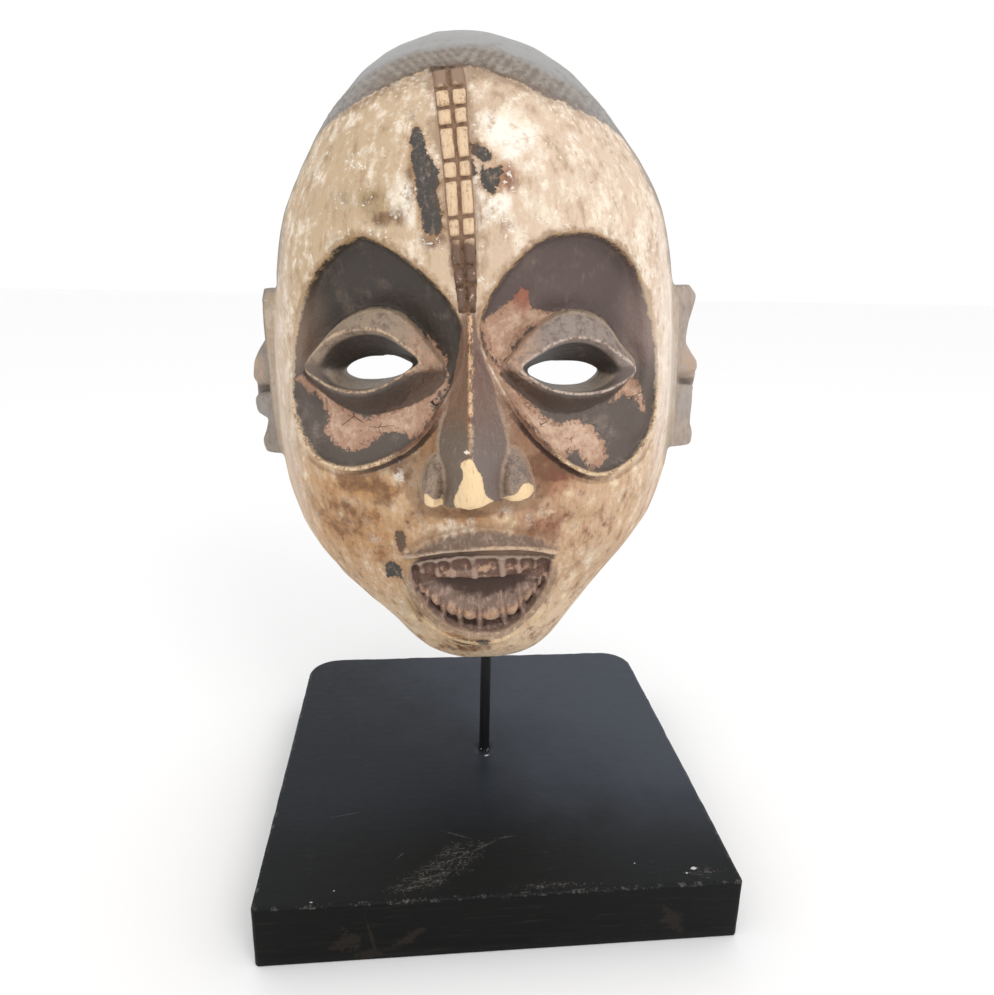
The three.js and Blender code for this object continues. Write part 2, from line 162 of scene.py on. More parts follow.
# Flat maps over the face, at (x, z): the carving is worked out on them and read back anywhere
MAP_STEP = 0.6
MAP_SIDE = 120
MAP_LOW, MAP_HIGH = -6, 306
map_x = np.arange(-MAP_SIDE, MAP_SIDE + 0.01, MAP_STEP)
map_z = np.arange(MAP_LOW, MAP_HIGH + 0.01, MAP_STEP)
X, Z = np.meshgrid(map_x, map_z, indexing="ij")
FAR = 22.0


def by_height(rows, column=1):
    """A table read at every height of the maps, as one row of them."""
    return table(rows, column, map_z)[None, :]


def distance(path, closed=True):
    """Distance in mm to a path, negative inside a closed one, and no more than FAR."""
    low, high = path.min(0) - FAR, path.max(0) + FAR
    i0, i1 = np.searchsorted(map_x, [low[0], high[0]])
    j0, j1 = np.searchsorted(map_z, [low[1], high[1]])
    x, z = X[i0:i1, j0:j1], Z[i0:i1, j0:j1]
    nearest = np.full(x.shape, FAR**2)
    inside = np.zeros(x.shape, bool)
    ends = np.roll(path, -1, 0) if closed else path[1:]
    for (ax, az), (bx, bz) in zip(path, ends):
        dx, dz = bx - ax, bz - az
        t = np.clip(((x - ax) * dx + (z - az) * dz) / (dx * dx + dz * dz + 1e-9), 0, 1)
        nearest = np.minimum(nearest, (x - ax - t * dx) ** 2 + (z - az - t * dz) ** 2)
        if closed and dz != 0:
            inside ^= ((az > z) != (bz > z)) & (x < (z - az) * dx / dz + ax)
    out = np.full(X.shape, FAR)
    out[i0:i1, j0:j1] = np.where(inside, -1, 1) * np.sqrt(nearest)
    return out


def read(field, x, z):
    """The value of a flat map at any points."""
    u = np.clip((x - map_x[0]) / MAP_STEP, 0, len(map_x) - 1.001)
    v = np.clip((z - map_z[0]) / MAP_STEP, 0, len(map_z) - 1.001)
    i, j = u.astype(int), v.astype(int)
    u, v = u - i, v - j
    low = field[i, j] * (1 - v) + field[i, j + 1] * v
    high = field[i + 1, j] * (1 - v) + field[i + 1, j + 1] * v
    return low * (1 - u) + high * u


def blur(field, size):
    """A flat map softened over about the given size."""
    reach = int(3 * size / MAP_STEP) + 1
    weights = np.exp(-0.5 * (np.arange(-reach, reach + 1) * MAP_STEP / size) ** 2)
    weights /= weights.sum()
    for axis in (0, 1):
        padded = np.pad(field, [(reach, reach) if a == axis else (0, 0) for a in (0, 1)], mode="edge")
        count = field.shape[axis]
        field = sum(w * np.take(padded, range(k, k + count), axis) for k, w in enumerate(weights))
    return field


def waves(size, seed):
    """Soft random unevenness with features of about the given size, from -1 to 1."""
    rng = np.random.default_rng(seed)
    shape = (int(2 * MAP_SIDE / size) + 3, int((MAP_HIGH - MAP_LOW) / size) + 3)
    coarse = rng.uniform(-1, 1, shape)
    u, v = (X + MAP_SIDE) / size, (Z - MAP_LOW) / size
    i, j = u.astype(int), v.astype(int)
    s, t = u - i, v - j
    s, t = s * s * (3 - 2 * s), t * t * (3 - 2 * t)
    low = coarse[i, j] * (1 - t) + coarse[i, j + 1] * t
    high = coarse[i + 1, j] * (1 - t) + coarse[i + 1, j + 1] * t
    return low * (1 - s) + high * s


# Outlines of the carving, drawn on the face
SOCKET = {
    -1: [(-78, 140), (-75, 167), (-66, 188), (-55, 201), (-41, 209), (-28, 205), (-12, 193), (-2, 180),
         (0, 170), (-2, 158), (-11, 142), (-21, 129), (-34, 120.5), (-48, 115.5), (-60, 115.5), (-71, 121.5)],
    1: [(6, 172), (10, 185), (20, 198), (31, 206.5), (42, 209), (55, 207.5), (67, 199), (76, 184),
        (82, 163), (83, 145), (81.5, 128), (75, 116.5), (66, 111), (55, 110), (43, 116), (31, 127),
        (20, 141.5), (10, 160)],
}
LID = {
    -1: [(-72, 154), (-61, 168.5), (-50, 177.5), (-37, 182), (-25, 179.5), (-14, 167.5), (-7.5, 156),
         (-15, 147), (-28, 141), (-45, 138.5), (-60, 143.5)],
    1: [(14, 156), (20, 164.5), (27, 172), (36, 178), (46, 179.5), (57, 175), (65, 165), (73, 153.5),
        (62, 142.5), (47, 137.5), (34, 138.5), (23, 146)],
}
LENS = {
    -1: [(-69.5, 158), (-62.5, 165), (-54, 170.8), (-43, 174), (-33, 173.3), (-25.5, 169), (-18, 161.7),
         (-24, 157.6), (-31.5, 153.2), (-39, 150.2), (-46.7, 149.3), (-55.7, 150.5), (-63, 153.6)],
    1: [(22.8, 158.3), (30, 163.8), (38, 167.9), (46, 169), (55, 166.7), (63, 161), (71, 153.8),
        (61.5, 148.4), (52.8, 146.7), (42.2, 147.6), (34, 150), (27.9, 153.8)],
}
SLIT = {
    -1: [(-53.5, 154.5), (-49, 159), (-41, 161.4), (-32, 160.9), (-25, 159), (-20.5, 157.8), (-26, 154.6),
         (-35, 152.2), (-47, 151.6)],
    1: [(24, 154.3), (32, 157), (41, 158), (50, 157), (56, 153.2), (51, 148.6), (43, 147.7), (33, 149.2)],
}
NOSE_EDGE = {
    -1: [(190, 1), (174, -1), (162, -3.2), (152, -5.6), (147, -7.1), (140.5, -9), (135, -10.9), (130, -12.1),
         (124.7, -12), (119, -9.6), (112, -9.2), (104, -11), (98, -11.5)],
    1: [(190, 4), (174, 5.2), (162, 8), (152, 11.3), (146.7, 12.6), (140, 14.4), (134.7, 15.8), (129.6, 16.9),
        (125, 16.9), (120, 14.8), (112, 13.8), (104, 14.6), (98, 15)],
}
NOSE_RIDGE = [(98, 1.9), (124, 1.9), (137, 1.9), (150, 2.1), (190, 2.6)]
NOSE_HEIGHT = [
    (98, 19), (104, 22), (110, 23.6), (117, 23), (126, 20.5), (138, 16.2), (150, 12), (165, 8),
    (178, 3.5), (188, 0.5), (194, 0),
]
NOSE_FOOT = [
    (98, 9.5), (112, 9), (120, 7.5), (127, 3.5), (135, 0.5), (148, -6), (165, -9), (176, -9), (192, 0),
]
NOSE_WINGS = [
    [(-11.6, 124.2), (-15, 122.3), (-18.2, 117.6), (-19.4, 112.4), (-19.6, 106.6), (-18.8, 101), (-16, 96),
     (-10.5, 96), (-10.6, 104.2), (-9.6, 109.5), (-8.2, 115), (-9, 119.8)],
    [(17.2, 126), (21.3, 124.2), (24.3, 119.2), (25.9, 113.5), (27.3, 108.5), (27, 102), (24, 97), (15, 97),
     (14, 105.2), (13.4, 110.4), (13.2, 115.8), (14.6, 121.5)],
]
NOSE_UNDER = [
    (-20, 103), (-13, 102.3), (-8, 103), (-3, 104.2), (1.5, 104), (6, 104.7), (10, 105.6), (15, 105),
    (20.4, 104.6), (27, 106.2),
]
LIP_OUTER = [
    (-32, 67), (-29.5, 48.5), (-22, 37), (-12.5, 29), (1, 25), (14, 28), (26.5, 38), (35, 51), (38.5, 68),
    (37, 76.5), (28, 82.3), (15, 86.4), (2, 87.6), (-11, 85), (-22, 80), (-31, 74.5),
]
MOUTH_INNER = [
    (-28.5, 66), (-27, 55), (-20.5, 43.5), (-11.5, 34.6), (2, 30.5), (15, 32.6), (26, 43), (33, 56),
    (35.5, 67), (34, 72), (22, 74.5), (4, 75.5), (-12, 74.5), (-25, 71.5),
]
UPPER_LIP_LINE = [
    (-32, 73.6), (-29.5, 74.6), (-20.2, 77.3), (-12.4, 78.8), (-2.6, 79.7), (7.1, 80.2), (14.7, 80.1),
    (24.4, 78.9), (32.1, 76.8), (38, 74),
]
TEETH_TOP = [(-29, 69.3), (-15.4, 72.7), (-4.3, 74), (6.8, 74.2), (21.2, 73.2), (31.3, 71.4), (37, 69.6)]
TEETH_BOTTOM = [
    (-28, 65.2), (-20.6, 62.8), (-13.8, 61.8), (-4.8, 61.4), (5.3, 61.5), (12.1, 61.9), (21.1, 63),
    (27.9, 64.8), (35.5, 68.6),
]
HAIRLINE = [
    (-110, 196), (-97, 214), (-84, 233), (-72, 247), (-61, 252.5), (-54, 255.5), (-39, 261.5),
    (-26, 266.5), (-14, 270), (0, 271.5), (10, 270), (22, 265.5), (34, 260), (46, 256), (58, 252.5),
    (72, 246), (86, 232), (98, 213), (110, 196),
]
# Forehead band: left edge, split, right edge at each height, and where its rows of tablets part
BAND = [(181, -1.2, 2, 5), (194, -2.4, 1.4, 5.6), (212, -4.2, 0.4, 5.6), (232, -5.6, -0.3, 4.6),
        (252, -7.7, -2, 3.3), (263, -9.1, -3.3, 2.9), (272, -10.6, -4.4, 1.4)]
BAND_ROWS = [271.5, 263, 255.5, 248.5, 235.9, 229, 215.4, 208.1, 197.7, 190.6, 181.4]


def sides(outlines, steps):
    """Distance to the outline on each side of the face."""
    left, right = (distance(curve(outlines[side], steps=steps)) for side in (-1, 1))
    return np.where(X < MIDDLE, left, right)


socket = sides(SOCKET, 8)
lid = sides(LID, 8)
lens = sides(LENS, 8)
slit = sides(SLIT, 6)
lip = distance(curve(LIP_OUTER, steps=8))
pocket = distance(curve(MOUTH_INNER, steps=8))
hair = Z - straight(curve(HAIRLINE, False, 8), X)
hair = hair / np.sqrt(1 + np.gradient(hair, MAP_STEP, axis=0) ** 2)

share = np.minimum(np.abs(X - by_height(DRIFT)) / by_height(STATIONS), 1)
dome = by_height(STATIONS, 2) * (1 - share**SECTION_POWER) ** (1 / SECTION_POWER)


def carve_sockets():
    """The dished eye sockets with their lids, in mm above the plain dome."""
    inside = -socket
    upper = smoothstep(138, 172, Z)
    inner_low = smoothstep(155, 140, Z)
    edge = 2.2 + 2.6 * (1 - upper)
    sideways = np.abs(X - MIDDLE) + 0.12 * np.abs(Z - 160)
    outer = smoothstep(66, 78, sideways) * smoothstep(206, 190, Z) * smoothstep(118, 130, Z)
    edge = edge + 7 * outer
    floor = -(4.8 + 2.4 * upper) * (1 - 0.35 * outer) * (1 - np.exp(-np.maximum(inside, 0) / (0.5 * edge)))
    floor -= (2.2 + 1.6 * upper) * smoothstep(3, 16, inside) * (1 - 0.5 * outer)
    crease = np.where(lid > 0, bump(lid - 1, 4.5), 1) * smoothstep(2, 9, inside)
    floor -= 1.8 * crease * (0.4 + 0.6 * upper)
    brow = 0.7 * bump(socket - 1.2, 1.5) * upper * (1 - outer)
    rim = (2.0 + 0.8 * waves(7, 4)) * bump(socket + 0.1, 1.15) * inner_low
    shadow = -1.3 * bump(socket - 3.4, 2.2) * inner_low * smoothstep(150, 128, Z + 0.25 * np.abs(X - MIDDLE))
    ring = np.clip(lens / np.maximum(lens - lid, 0.3), 0, 1)
    upper_lid = smoothstep(-1.5, 3, Z - (EYE_LINE - EYE_TILT * (X - MIDDLE)))
    rise_up = 1.0 - 5.0 * ring**1.25
    rise_low = 0.8 - 7.2 * smoothstep(0.05, 1, ring)
    lids = rise_low * (1 - upper_lid) + rise_up * upper_lid
    lids += 0.5 * bump(lens - 0.5, 0.9)
    lids = np.where(lid < 0, lids, NOWHERE)
    return np.where(inside > 0, np.maximum(floor, lids), brow + shadow) + rim


def carve_nose():
    """The wedge of the nose with its wings, and where it stays above its underside."""
    ridge, height, foot = (by_height(rows) for rows in (NOSE_RIDGE, NOSE_HEIGHT, NOSE_FOOT))
    left, right = (by_height(NOSE_EDGE[side][::-1]) for side in (-1, 1))
    across = np.where(X < ridge, (ridge - X) / (ridge - left), (X - ridge) / (right - ridge))
    slope = np.clip(across, 0, 1)
    full = smoothstep(140, 116, Z)
    shape = 1 - slope ** (1.0 + 0.9 * full)
    shape = shape - 0.10 * np.sin(math.pi * slope) * (1 - 0.5 * full)
    wedge = foot + (height - foot) * shape
    flat = height - 0.5 - 0.25 * np.abs(X - ridge)
    outside = np.maximum(np.maximum(left - X, X - right), 0)
    body = smooth_min(wedge, flat, 0.8) - 1.7 * outside
    for outline in NOSE_WINGS:
        inward = -distance(curve(outline, steps=5))
        swell = np.sqrt(np.clip(1 - (1 - np.clip(inward / 5.2, 0, 1)) ** 2, 0, 1))
        wing = 2.2 + (3.0 + 8.6 * smoothstep(127, 110, Z)) * swell + 3 * np.minimum(inward, 0)
        body = smooth_max(body, wing, 1.2)
    under = straight(NOSE_UNDER, map_x)[:, None]
    return body, smoothstep(-0.9, 0.6, Z - under)


MOUTH_HALF = 34.0
# Thin ridges between the teeth, the lower ones each from its top to its foot, and the line of the lower tips
UPPER_RIDGES = [-23.7, -16.5, -9.8, 0.4, 13.2, 20.9, 28.6]
TOOTH_RIDGES = [
    (-26.7, 61, -27.5, 54), (-21.5, 57.5, -22.3, 46), (-14.6, 52, -15.3, 39.4), (-7, 49, -7.6, 33.8),
    (2.2, 50.6, 1.6, 29.8), (12.1, 53, 14, 31.8), (20.2, 56.8, 22.8, 36.2), (26.8, 61, 29.2, 45),
    (32, 65.9, 33.6, 55.4),
]
TOOTH_TIPS = [(-31, 63), (-24.9, 53.5), (-19, 46.4), (-13.2, 41.2), (-4.2, 36.8), (5.7, 36.2), (17.4, 39),
              (25.3, 47), (30.9, 55.4), (36, 65)]


def across_segment(x0, z0, x1, z1):
    """Distance to a segment, and how far along it the nearest point lies, from 0 to 1."""
    dx, dz = x1 - x0, z1 - z0
    t = np.clip(((X - x0) * dx + (Z - z0) * dz) / (dx * dx + dz * dz), 0, 1)
    return np.hypot(X - x0 - t * dx, Z - z0 - t * dz), t


def lower_teeth(uneven):
    """The lower gum with its row of blunt teeth and the thin ridges between them."""
    tips = table(TOOTH_TIPS, 1, map_x)[:, None]
    above = Z - tips
    gum = -3.2 - 3.2 * smoothstep(5, 20, above) - 1.6 * smoothstep(8, 4, above) + 0.3 * uneven
    form = np.where(above > 0, gum, -5.8)
    for (x0, z0, x1, z1), (x2, z2, x3, z3) in zip(TOOTH_RIDGES[:-1], TOOTH_RIDGES[1:]):
        left = x0 + (x1 - x0) * (Z - z0) / (z1 - z0)
        right = x2 + (x3 - x2) * (Z - z2) / (z3 - z2)
        middle, half = (left + right) / 2, np.maximum((right - left) / 2 - 1.1, 1)
        u = (X - middle) / half
        v = (above - 3.4) / 3.6
        ball = np.sqrt(np.clip(1 - u**2 - v**2, 0, 1))
        knob = -5.4 + (4.6 + 0.8 * uneven + 0.5 * waves(2.6, 22)) * ball
        form = np.maximum(form, np.where(ball > 0, knob, NOWHERE))
    for x0, z0, x1, z1 in TOOTH_RIDGES:
        away, t = across_segment(x0, z0, x1, z1)
        crest = -4.4 + 1.8 * np.sin(math.pi * np.clip(t * 1.1, 0, 1)) + 1.4 * t
        fin = crest - 2.6 * (away / 1.5) ** 2
        form = np.maximum(form, np.where(away < 1.9, fin, NOWHERE))
    return form


def carve_mouth():
    """The lips around the sunk mouth, with both rows of teeth."""
    top, bottom = (straight(rows, map_x)[:, None] for rows in (TEETH_TOP, TEETH_BOTTOM))
    crest = table(UPPER_LIP_LINE, 1, map_x)[:, None]
    bow = 1.3 * (np.abs(X - MIDDLE) / MOUTH_HALF) ** 2
    within = -pocket
    uneven = waves(5.5, 8)
    sunk = smoothstep(0, 1.6, within)
    lower = lower_teeth(uneven) * sunk
    upper_row = smoothstep(0.1, 1.0, within) * smoothstep(-0.5, 0.5, Z - bottom - 0.5 * uneven)
    front = -3.1 + 0.6 * uneven + 0.5 * waves(3, 21) - bow
    for ridge in UPPER_RIDGES:
        leaning = X - ridge + 0.06 * (Z - 68) + 0.5 * waves(6, 23)
        front = np.maximum(front, -1.0 - 0.9 * (leaning / 1.2) ** 2 - bow)
    front -= 1.4 * bump(Z - (top + bottom) / 2 - 1.5, 1.8) * (0.6 + 0.6 * uneven)
    front += 1.5 * bump(Z - top + 0.8, 0.9)
    groove = -3.4 * smoothstep(0.2, 1.2, within) * smoothstep(0.2, 0.9, Z - top)
    front = np.where(Z > top + 0.2, groove, front)
    mouth = np.where(within > 0, lower * (1 - upper_row) + front * upper_row, 0)
    low = smoothstep(70, 60, Z)
    lower_lip = 1.2 * bump(pocket - 0.4, 1.0) * low + 1.7 * bump(pocket - 3, 1.3) * low
    lower_lip -= 0.9 * bump(lip - 0.6, 1.0) * smoothstep(60, 45, Z)
    under_lip = smoothstep(48, 34, Z) * smoothstep(-30, -16, X) * smoothstep(26, 14, X)
    lower_lip += 1.0 * bump(lip - 2.6, 1.3) * under_lip
    inward = np.maximum(-lip, 0)
    share = inward / np.maximum(inward + np.maximum(Z - crest, 0), 0.4)
    fade = smoothstep(0, 3.0, inward)
    above = 0.9 * smoothstep(0, 0.8, inward) + (4.0 * share**1.7 + 0.7 * bump(Z - crest - 0.3, 0.9)) * fade
    below = (5.2 * smoothstep(-2.4, -0.5, Z - crest) - 0.6) * fade
    upper_lip = np.where((lip < 0) & (Z > top), np.where(Z > crest, above, below), 0)
    return mouth + np.where(within > 0, 0, lower_lip) + np.where((within > 0) & (Z < top + 0.2), 0, upper_lip)


def carve_band():
    """Two rows of raised tablets in a shallow trench, with the shares of both."""
    left, split, right = (by_height(BAND, column) for column in (1, 2, 3))
    sideways = np.minimum(X - left, right - X)
    rows = np.min([np.abs(Z - z - 0.10 * (X - split)) for z in BAND_ROWS], axis=0)
    groove = np.minimum(rows, np.abs(X - split))
    tablet = smoothstep(0.4, 1.15, groove) * smoothstep(-0.2, 0.7, sideways)
    tablet = tablet * (Z > BAND_ROWS[-1]) * (Z < BAND_ROWS[0] + 1)
    trench = smoothstep(-0.8, 0.2, sideways) * (Z > BAND_ROWS[-1] - 1) * (Z < BAND_ROWS[0] + 1)
    return trench * (-0.7 + tablet * (2.3 + 0.3 * waves(6, 5))), tablet, trench


def carve_hair():
    """The cap stands a little proud, with a twisted edge of slanting strokes."""
    strip = smoothstep(-0.3, 0.5, hair) * smoothstep(12.5, 8.5, hair)
    along = X + hair * np.where(X < 0, 0.9, -0.55) + 0.9 * waves(9, 24)
    strokes = np.cos(2 * math.pi * along / 3.5 + 1.3 * waves(14, 6))
    weave = np.cos(2 * math.pi * (hair + 0.7 * strokes + 0.6 * waves(7, 25)) / 3.1)
    rope = strip * (0.4 + 0.2 * strokes + 0.12 * weave + 0.6 * waves(3.4, 7))
    return (0.7 * smoothstep(-0.3, 0.6, hair) + rope) * smoothstep(68, 46, np.abs(X))


def relief():
    """All the carving over the plain dome, in mm, with the shares of the band's tablets and trench."""
    carved = 0.45 * waves(26, 1) + 0.25 * waves(11, 2) + 0.10 * waves(4.5, 3)
    carved = carved + carve_sockets() + carve_mouth() + carve_hair()
    band, tablet, trench = carve_band()
    carved = carved + band
    nose, stays = carve_nose()
    carved = np.where(nose > carved, carved + (nose - carved) * stays, carved)
    return carved, tablet, trench


carved, tablet, trench = relief()


# How far each ear stands out sideways at its fullest, seen from the front: height, reach
EAR_REACH = {
    -1: [(108, 104), (110.5, 106), (114.6, 106.8), (120.8, 104.6), (126.2, 103.3), (128, 105.8),
         (130, 108), (135, 108.6), (142.6, 108.4), (148, 108.2), (154, 107.2), (160, 104.2),
         (166.3, 99.8), (170.5, 98.2), (176.5, 99.4), (183, 100), (189, 98)],
    1: [(108, 106), (111, 108.1), (115, 108.4), (121, 107.1), (131, 107.6), (136, 107.6), (139.6, 109),
        (143.5, 109.6), (150, 109), (155, 105.9), (160.6, 103.2), (167.7, 103.8), (175.7, 105.8),
        (181.3, 106.9), (186, 104)],
}
EAR_TOP = {-1: 189.0, 1: 186.5}
EAR_FOOT = 109.3
EAR_BACK, EAR_FRONT = 7.0, 42.0
EAR_CREST = 23.0
EAR_PLATE = 97.0
EAR_ROOT = 82.0
EAR_POWER = 4.5
EAR_ROUND = 17


def ear_form(d, z, side):
    """How far an ear stands out sideways, over (d, z), and the distance to its outline there."""
    middle, half = (EAR_TOP[side] + EAR_FOOT) / 2, (EAR_TOP[side] - EAR_FOOT) / 2
    centre, deep = (EAR_BACK + EAR_FRONT) / 2, (EAR_FRONT - EAR_BACK) / 2
    outline = np.abs((d - centre) / deep) ** EAR_POWER + np.abs((z - middle) / half) ** EAR_POWER
    outline = outline ** (1 / EAR_POWER) - 1
    reach = table(EAR_REACH[side], 1, z)
    plate = EAR_PLATE - 0.05 * np.abs(d - 30)
    fall = smoothstep(EAR_CREST + 13, EAR_CREST + 4, d) * smoothstep(EAR_CREST - 9, EAR_CREST - 5, d)
    body = plate + (reach - plate) * fall
    rim = plate + 0.85 * (reach - plate) * smoothstep(EAR_CREST - 10, EAR_CREST - 12, d)
    body = np.maximum(body, rim - 1.5 * smoothstep(-0.25, 0, outline))
    notch = bump(z - (142 + side * 0.5) - 0.2 * (d - 28), 2.6) * smoothstep(EAR_CREST - 1, EAR_CREST + 6, d)
    body -= 9.0 * notch * smoothstep(plate, plate + 3, body)
    return body, outline * EAR_ROUND


def hollow_profile(z, column, wall):
    """A column of the stations, less the wall's thickness measured square to the surface."""
    slope = (table(STATIONS, column, z + 1) - table(STATIONS, column, z - 1)) / 2
    return table(STATIONS, column, z) - wall * np.hypot(1, np.clip(slope, -1.75, 1.75))


def ovoid(x, d, z, half, deep, centre):
    """Roughly the distance in mm to a rounded dome whose half width and depth change with z."""
    wide = np.abs((x - centre) / half) ** SECTION_POWER
    tall = np.abs(d / deep) ** SECTION_POWER
    reach = (wide[:, None, :] + tall[None, :, :]) ** (1 / SECTION_POWER)
    step = float(z[1] - z[0])
    gx, gd, gz = np.gradient(reach, step)
    far = np.maximum(reach / 1.35, 1) ** 2
    return (reach - 1) * far / np.sqrt(gx * gx + gd * gd + gz * gz + 1e-8)


# The box of the field, in which the mask is worked out
FIELD_X, FIELD_D, FIELD_Z = (-114, 113), (-3, 125), (-5, 304)
# The eye slits widen forwards from here, and the rest of the way back they are open hollow
SLIT_DEPTH = 76
SLIT_BACK = 40


def eye_tunnels(gx, gz, d):
    """Roughly the distance to the openings of both eyes, each from its slit out to its lens-shaped mouth."""
    mouth, gap = read(lens, gx, gz)[:, None, :], read(slit, gx, gz)[:, None, :]
    face = read(dome, gx, gz)[:, None, :]
    back = np.minimum(SLIT_DEPTH, face - 9)
    share = np.clip((d - back) / (face + 1.2 - back), 0, 1.3)
    tunnel = gap + (mouth - gap) * share**0.85
    return np.where(d < SLIT_BACK, -NOWHERE, tunnel).astype(np.float32)


def inside_wall(x, d, z, centre, gx, gz):
    """The hollow behind the face, with its walls and its tool marks."""
    half = np.maximum(hollow_profile(z, 1, SIDE_WALL), 3).astype(np.float32)[None, :]
    deep = np.maximum(hollow_profile(z, 2, FRONT_WALL), 3).astype(np.float32)[None, :]
    inner = ovoid(x[:, None], d[:, None], z, half, deep, centre)
    floor, ceiling = CHIN_WALL, TOP - CROWN_WALL
    inner = smooth_max(inner, np.maximum(floor - z, z - ceiling)[None, None, :], 14)
    chisel = 0.5 * read(waves(15, 11), gx, gz)[:, None, :] + 0.25 * np.cos(d / 4.5)[None, :, None]
    return inner + chisel.astype(np.float32)


def rod_hole(x, d, z):
    """The blind hole in the chin, along the upright rod."""
    hole_x, hole_d = rod_place(z)
    across = (x[:, None] - hole_x[None, :])[:, None, :]
    hole = np.sqrt(across**2 + (d - hole_d) ** 2) - ROD_RADIUS - ROD_GAP
    return np.maximum(hole, (z - HOLE_IN_CHIN)[None, None, :])


def mask_field():
    """The distance to the whole mask on a fine grid, negative in the wood."""
    extents = (FIELD_X, FIELD_D, FIELD_Z)
    x, d, z = (np.arange(low, high + 0.01, VOXEL).astype(np.float32) for low, high in extents)
    half = table(STATIONS, 1, z).astype(np.float32)[None, :]
    deep = table(STATIONS, 2, z).astype(np.float32)[None, :]
    centre = table(DRIFT, 1, z).astype(np.float32)[None, :]
    field = ovoid(x[:, None], d[:, None], z, half, deep, centre)
    field = np.maximum(field, np.maximum(-z, z - TOP)[None, None, :])
    gx, gz = np.meshgrid(x, z, indexing="ij")
    field -= read(carved, gx, gz).astype(np.float32)[:, None, :]
    gd, gdz = np.meshgrid(d, z, indexing="ij")
    for side in (-1, 1):
        reach, outline = ear_form(gd, gdz, side)
        outward = side * x[:, None, None]
        ear = np.maximum(outward - reach[None], outline[None])
        ear = np.maximum(ear, EAR_ROOT - outward)
        field = smooth_min(field, ear.astype(np.float32), 1.6)
    depth = d[None, :, None]
    field = smooth_max(field, -eye_tunnels(gx, gz, depth), 0.8)
    field = smooth_max(field, -inside_wall(x, d, z, centre, gx, gz), 1.6)
    field = smooth_max(field, -depth, 1.2)
    field = np.maximum(field, -rod_hole(x, depth, z))
    return np.ascontiguousarray(field.astype(np.float32)), x, d, z


def rod_place(z):
    """Where the upright rod passes through the mask's own frame at height z."""
    return -math.tan(MASK_LEAN) * z - MASK_SHIFT, ROD_SETBACK


def net(field, x, d, z):
    """One closed quad mesh along the zero level of the field."""
    solid = field < 0
    halves = (slice(0, -1), slice(1, None))
    corners = (solid[i, j, k] for i in halves for j in halves for k in halves)
    count = sum(corner.astype(np.int8) for corner in corners)
    cells = np.argwhere((count > 0) & (count < 8))
    number = np.full(count.shape, -1, np.int64)
    number[tuple(cells.T)] = np.arange(len(cells))
    total = np.zeros((len(cells), 3))
    crossings = np.zeros(len(cells))
    for axis in range(3):
        across = [a for a in range(3) if a != axis]
        for one in (0, 1):
            for two in (0, 1):
                start = cells.copy()
                start[:, across[0]] += one
                start[:, across[1]] += two
                end = start.copy()
                end[:, axis] += 1
                a, b = field[tuple(start.T)], field[tuple(end.T)]
                cut = (a < 0) != (b < 0)
                t = np.where(cut, a / np.where(cut, a - b, 1), 0)
                point = start.astype(float)
                point[:, axis] += t
                total += point * cut[:, None]
                crossings += cut
    points = total / crossings[:, None]
    origin, step = np.array([x[0], d[0], z[0]]), float(x[1] - x[0])
    quads = []
    for axis in range(3):
        a, b = [k for k in range(3) if k != axis]
        low = [slice(1, -1)] * 3
        high = [slice(1, -1)] * 3
        low[axis], high[axis] = slice(0, -1), slice(1, None)
        one, two = solid[tuple(low)], solid[tuple(high)]
        for flip, where in ((False, one & ~two), (True, two & ~one)):
            at = np.argwhere(where)
            at[:, a] += 1
            at[:, b] += 1
            ring = []
            for da, db in ((0, 0), (-1, 0), (-1, -1), (0, -1)):
                cell = at.copy()
                cell[:, a] += da
                cell[:, b] += db
                ring.append(number[tuple(cell.T)])
            quad = np.stack(ring, 1)
            if flip != (axis == 1):
                quad = quad[:, ::-1]
            quads.append(quad)
    return origin + points * step, np.vstack(quads)


def place_matrix():
    """Turns and leans the mask over its rod, in mm."""
    turn = Matrix.Rotation(MASK_TURN, 4, "Z") @ Matrix.Rotation(MASK_LEAN, 4, "Y")
    return Matrix.Translation((0, 0, CHIN_LEVEL)) @ turn


def to_world(local):
    """From the mask's own millimetres to the scene."""
    """Mask frame (x, d, z) in mm to the model's frame in metres."""
    m = np.array(place_matrix())
    p = np.stack([local[:, 0] + MASK_SHIFT, ROD_SETBACK - local[:, 1], local[:, 2]], 1)
    return (p @ m[:3, :3].T + m[:3, 3]) * MM


def to_local(world):
    """From the scene to the mask's own millimetres."""
    m = np.array(place_matrix())
    p = (world / MM - m[:3, 3]) @ m[:3, :3]
    return np.stack([p[:, 0] - MASK_SHIFT, ROD_SETBACK - p[:, 1], p[:, 2]], 1)


def mesh_object(name, points, faces, smooth=True):
    """An object from points in the scene's units and faces of one kind."""
    mesh = bpy.data.meshes.new(name)
    mesh.vertices.add(len(points))
    mesh.vertices.foreach_set("co", np.asarray(points, np.float32).ravel())
    mesh.loops.add(faces.size)
    mesh.loops.foreach_set("vertex_index", np.ascontiguousarray(faces, np.int32).ravel())
    mesh.polygons.add(len(faces))
    mesh.polygons.foreach_set("loop_start", np.arange(0, faces.size, faces.shape[1], dtype=np.int32))
    mesh.update(calc_edges=True)
    mesh.validate()
    if smooth:
        mesh.polygons.foreach_set("use_smooth", np.ones(len(faces), bool))
    obj = bpy.data.objects.new(name, mesh)
    bpy.context.scene.collection.objects.link(obj)
    return obj


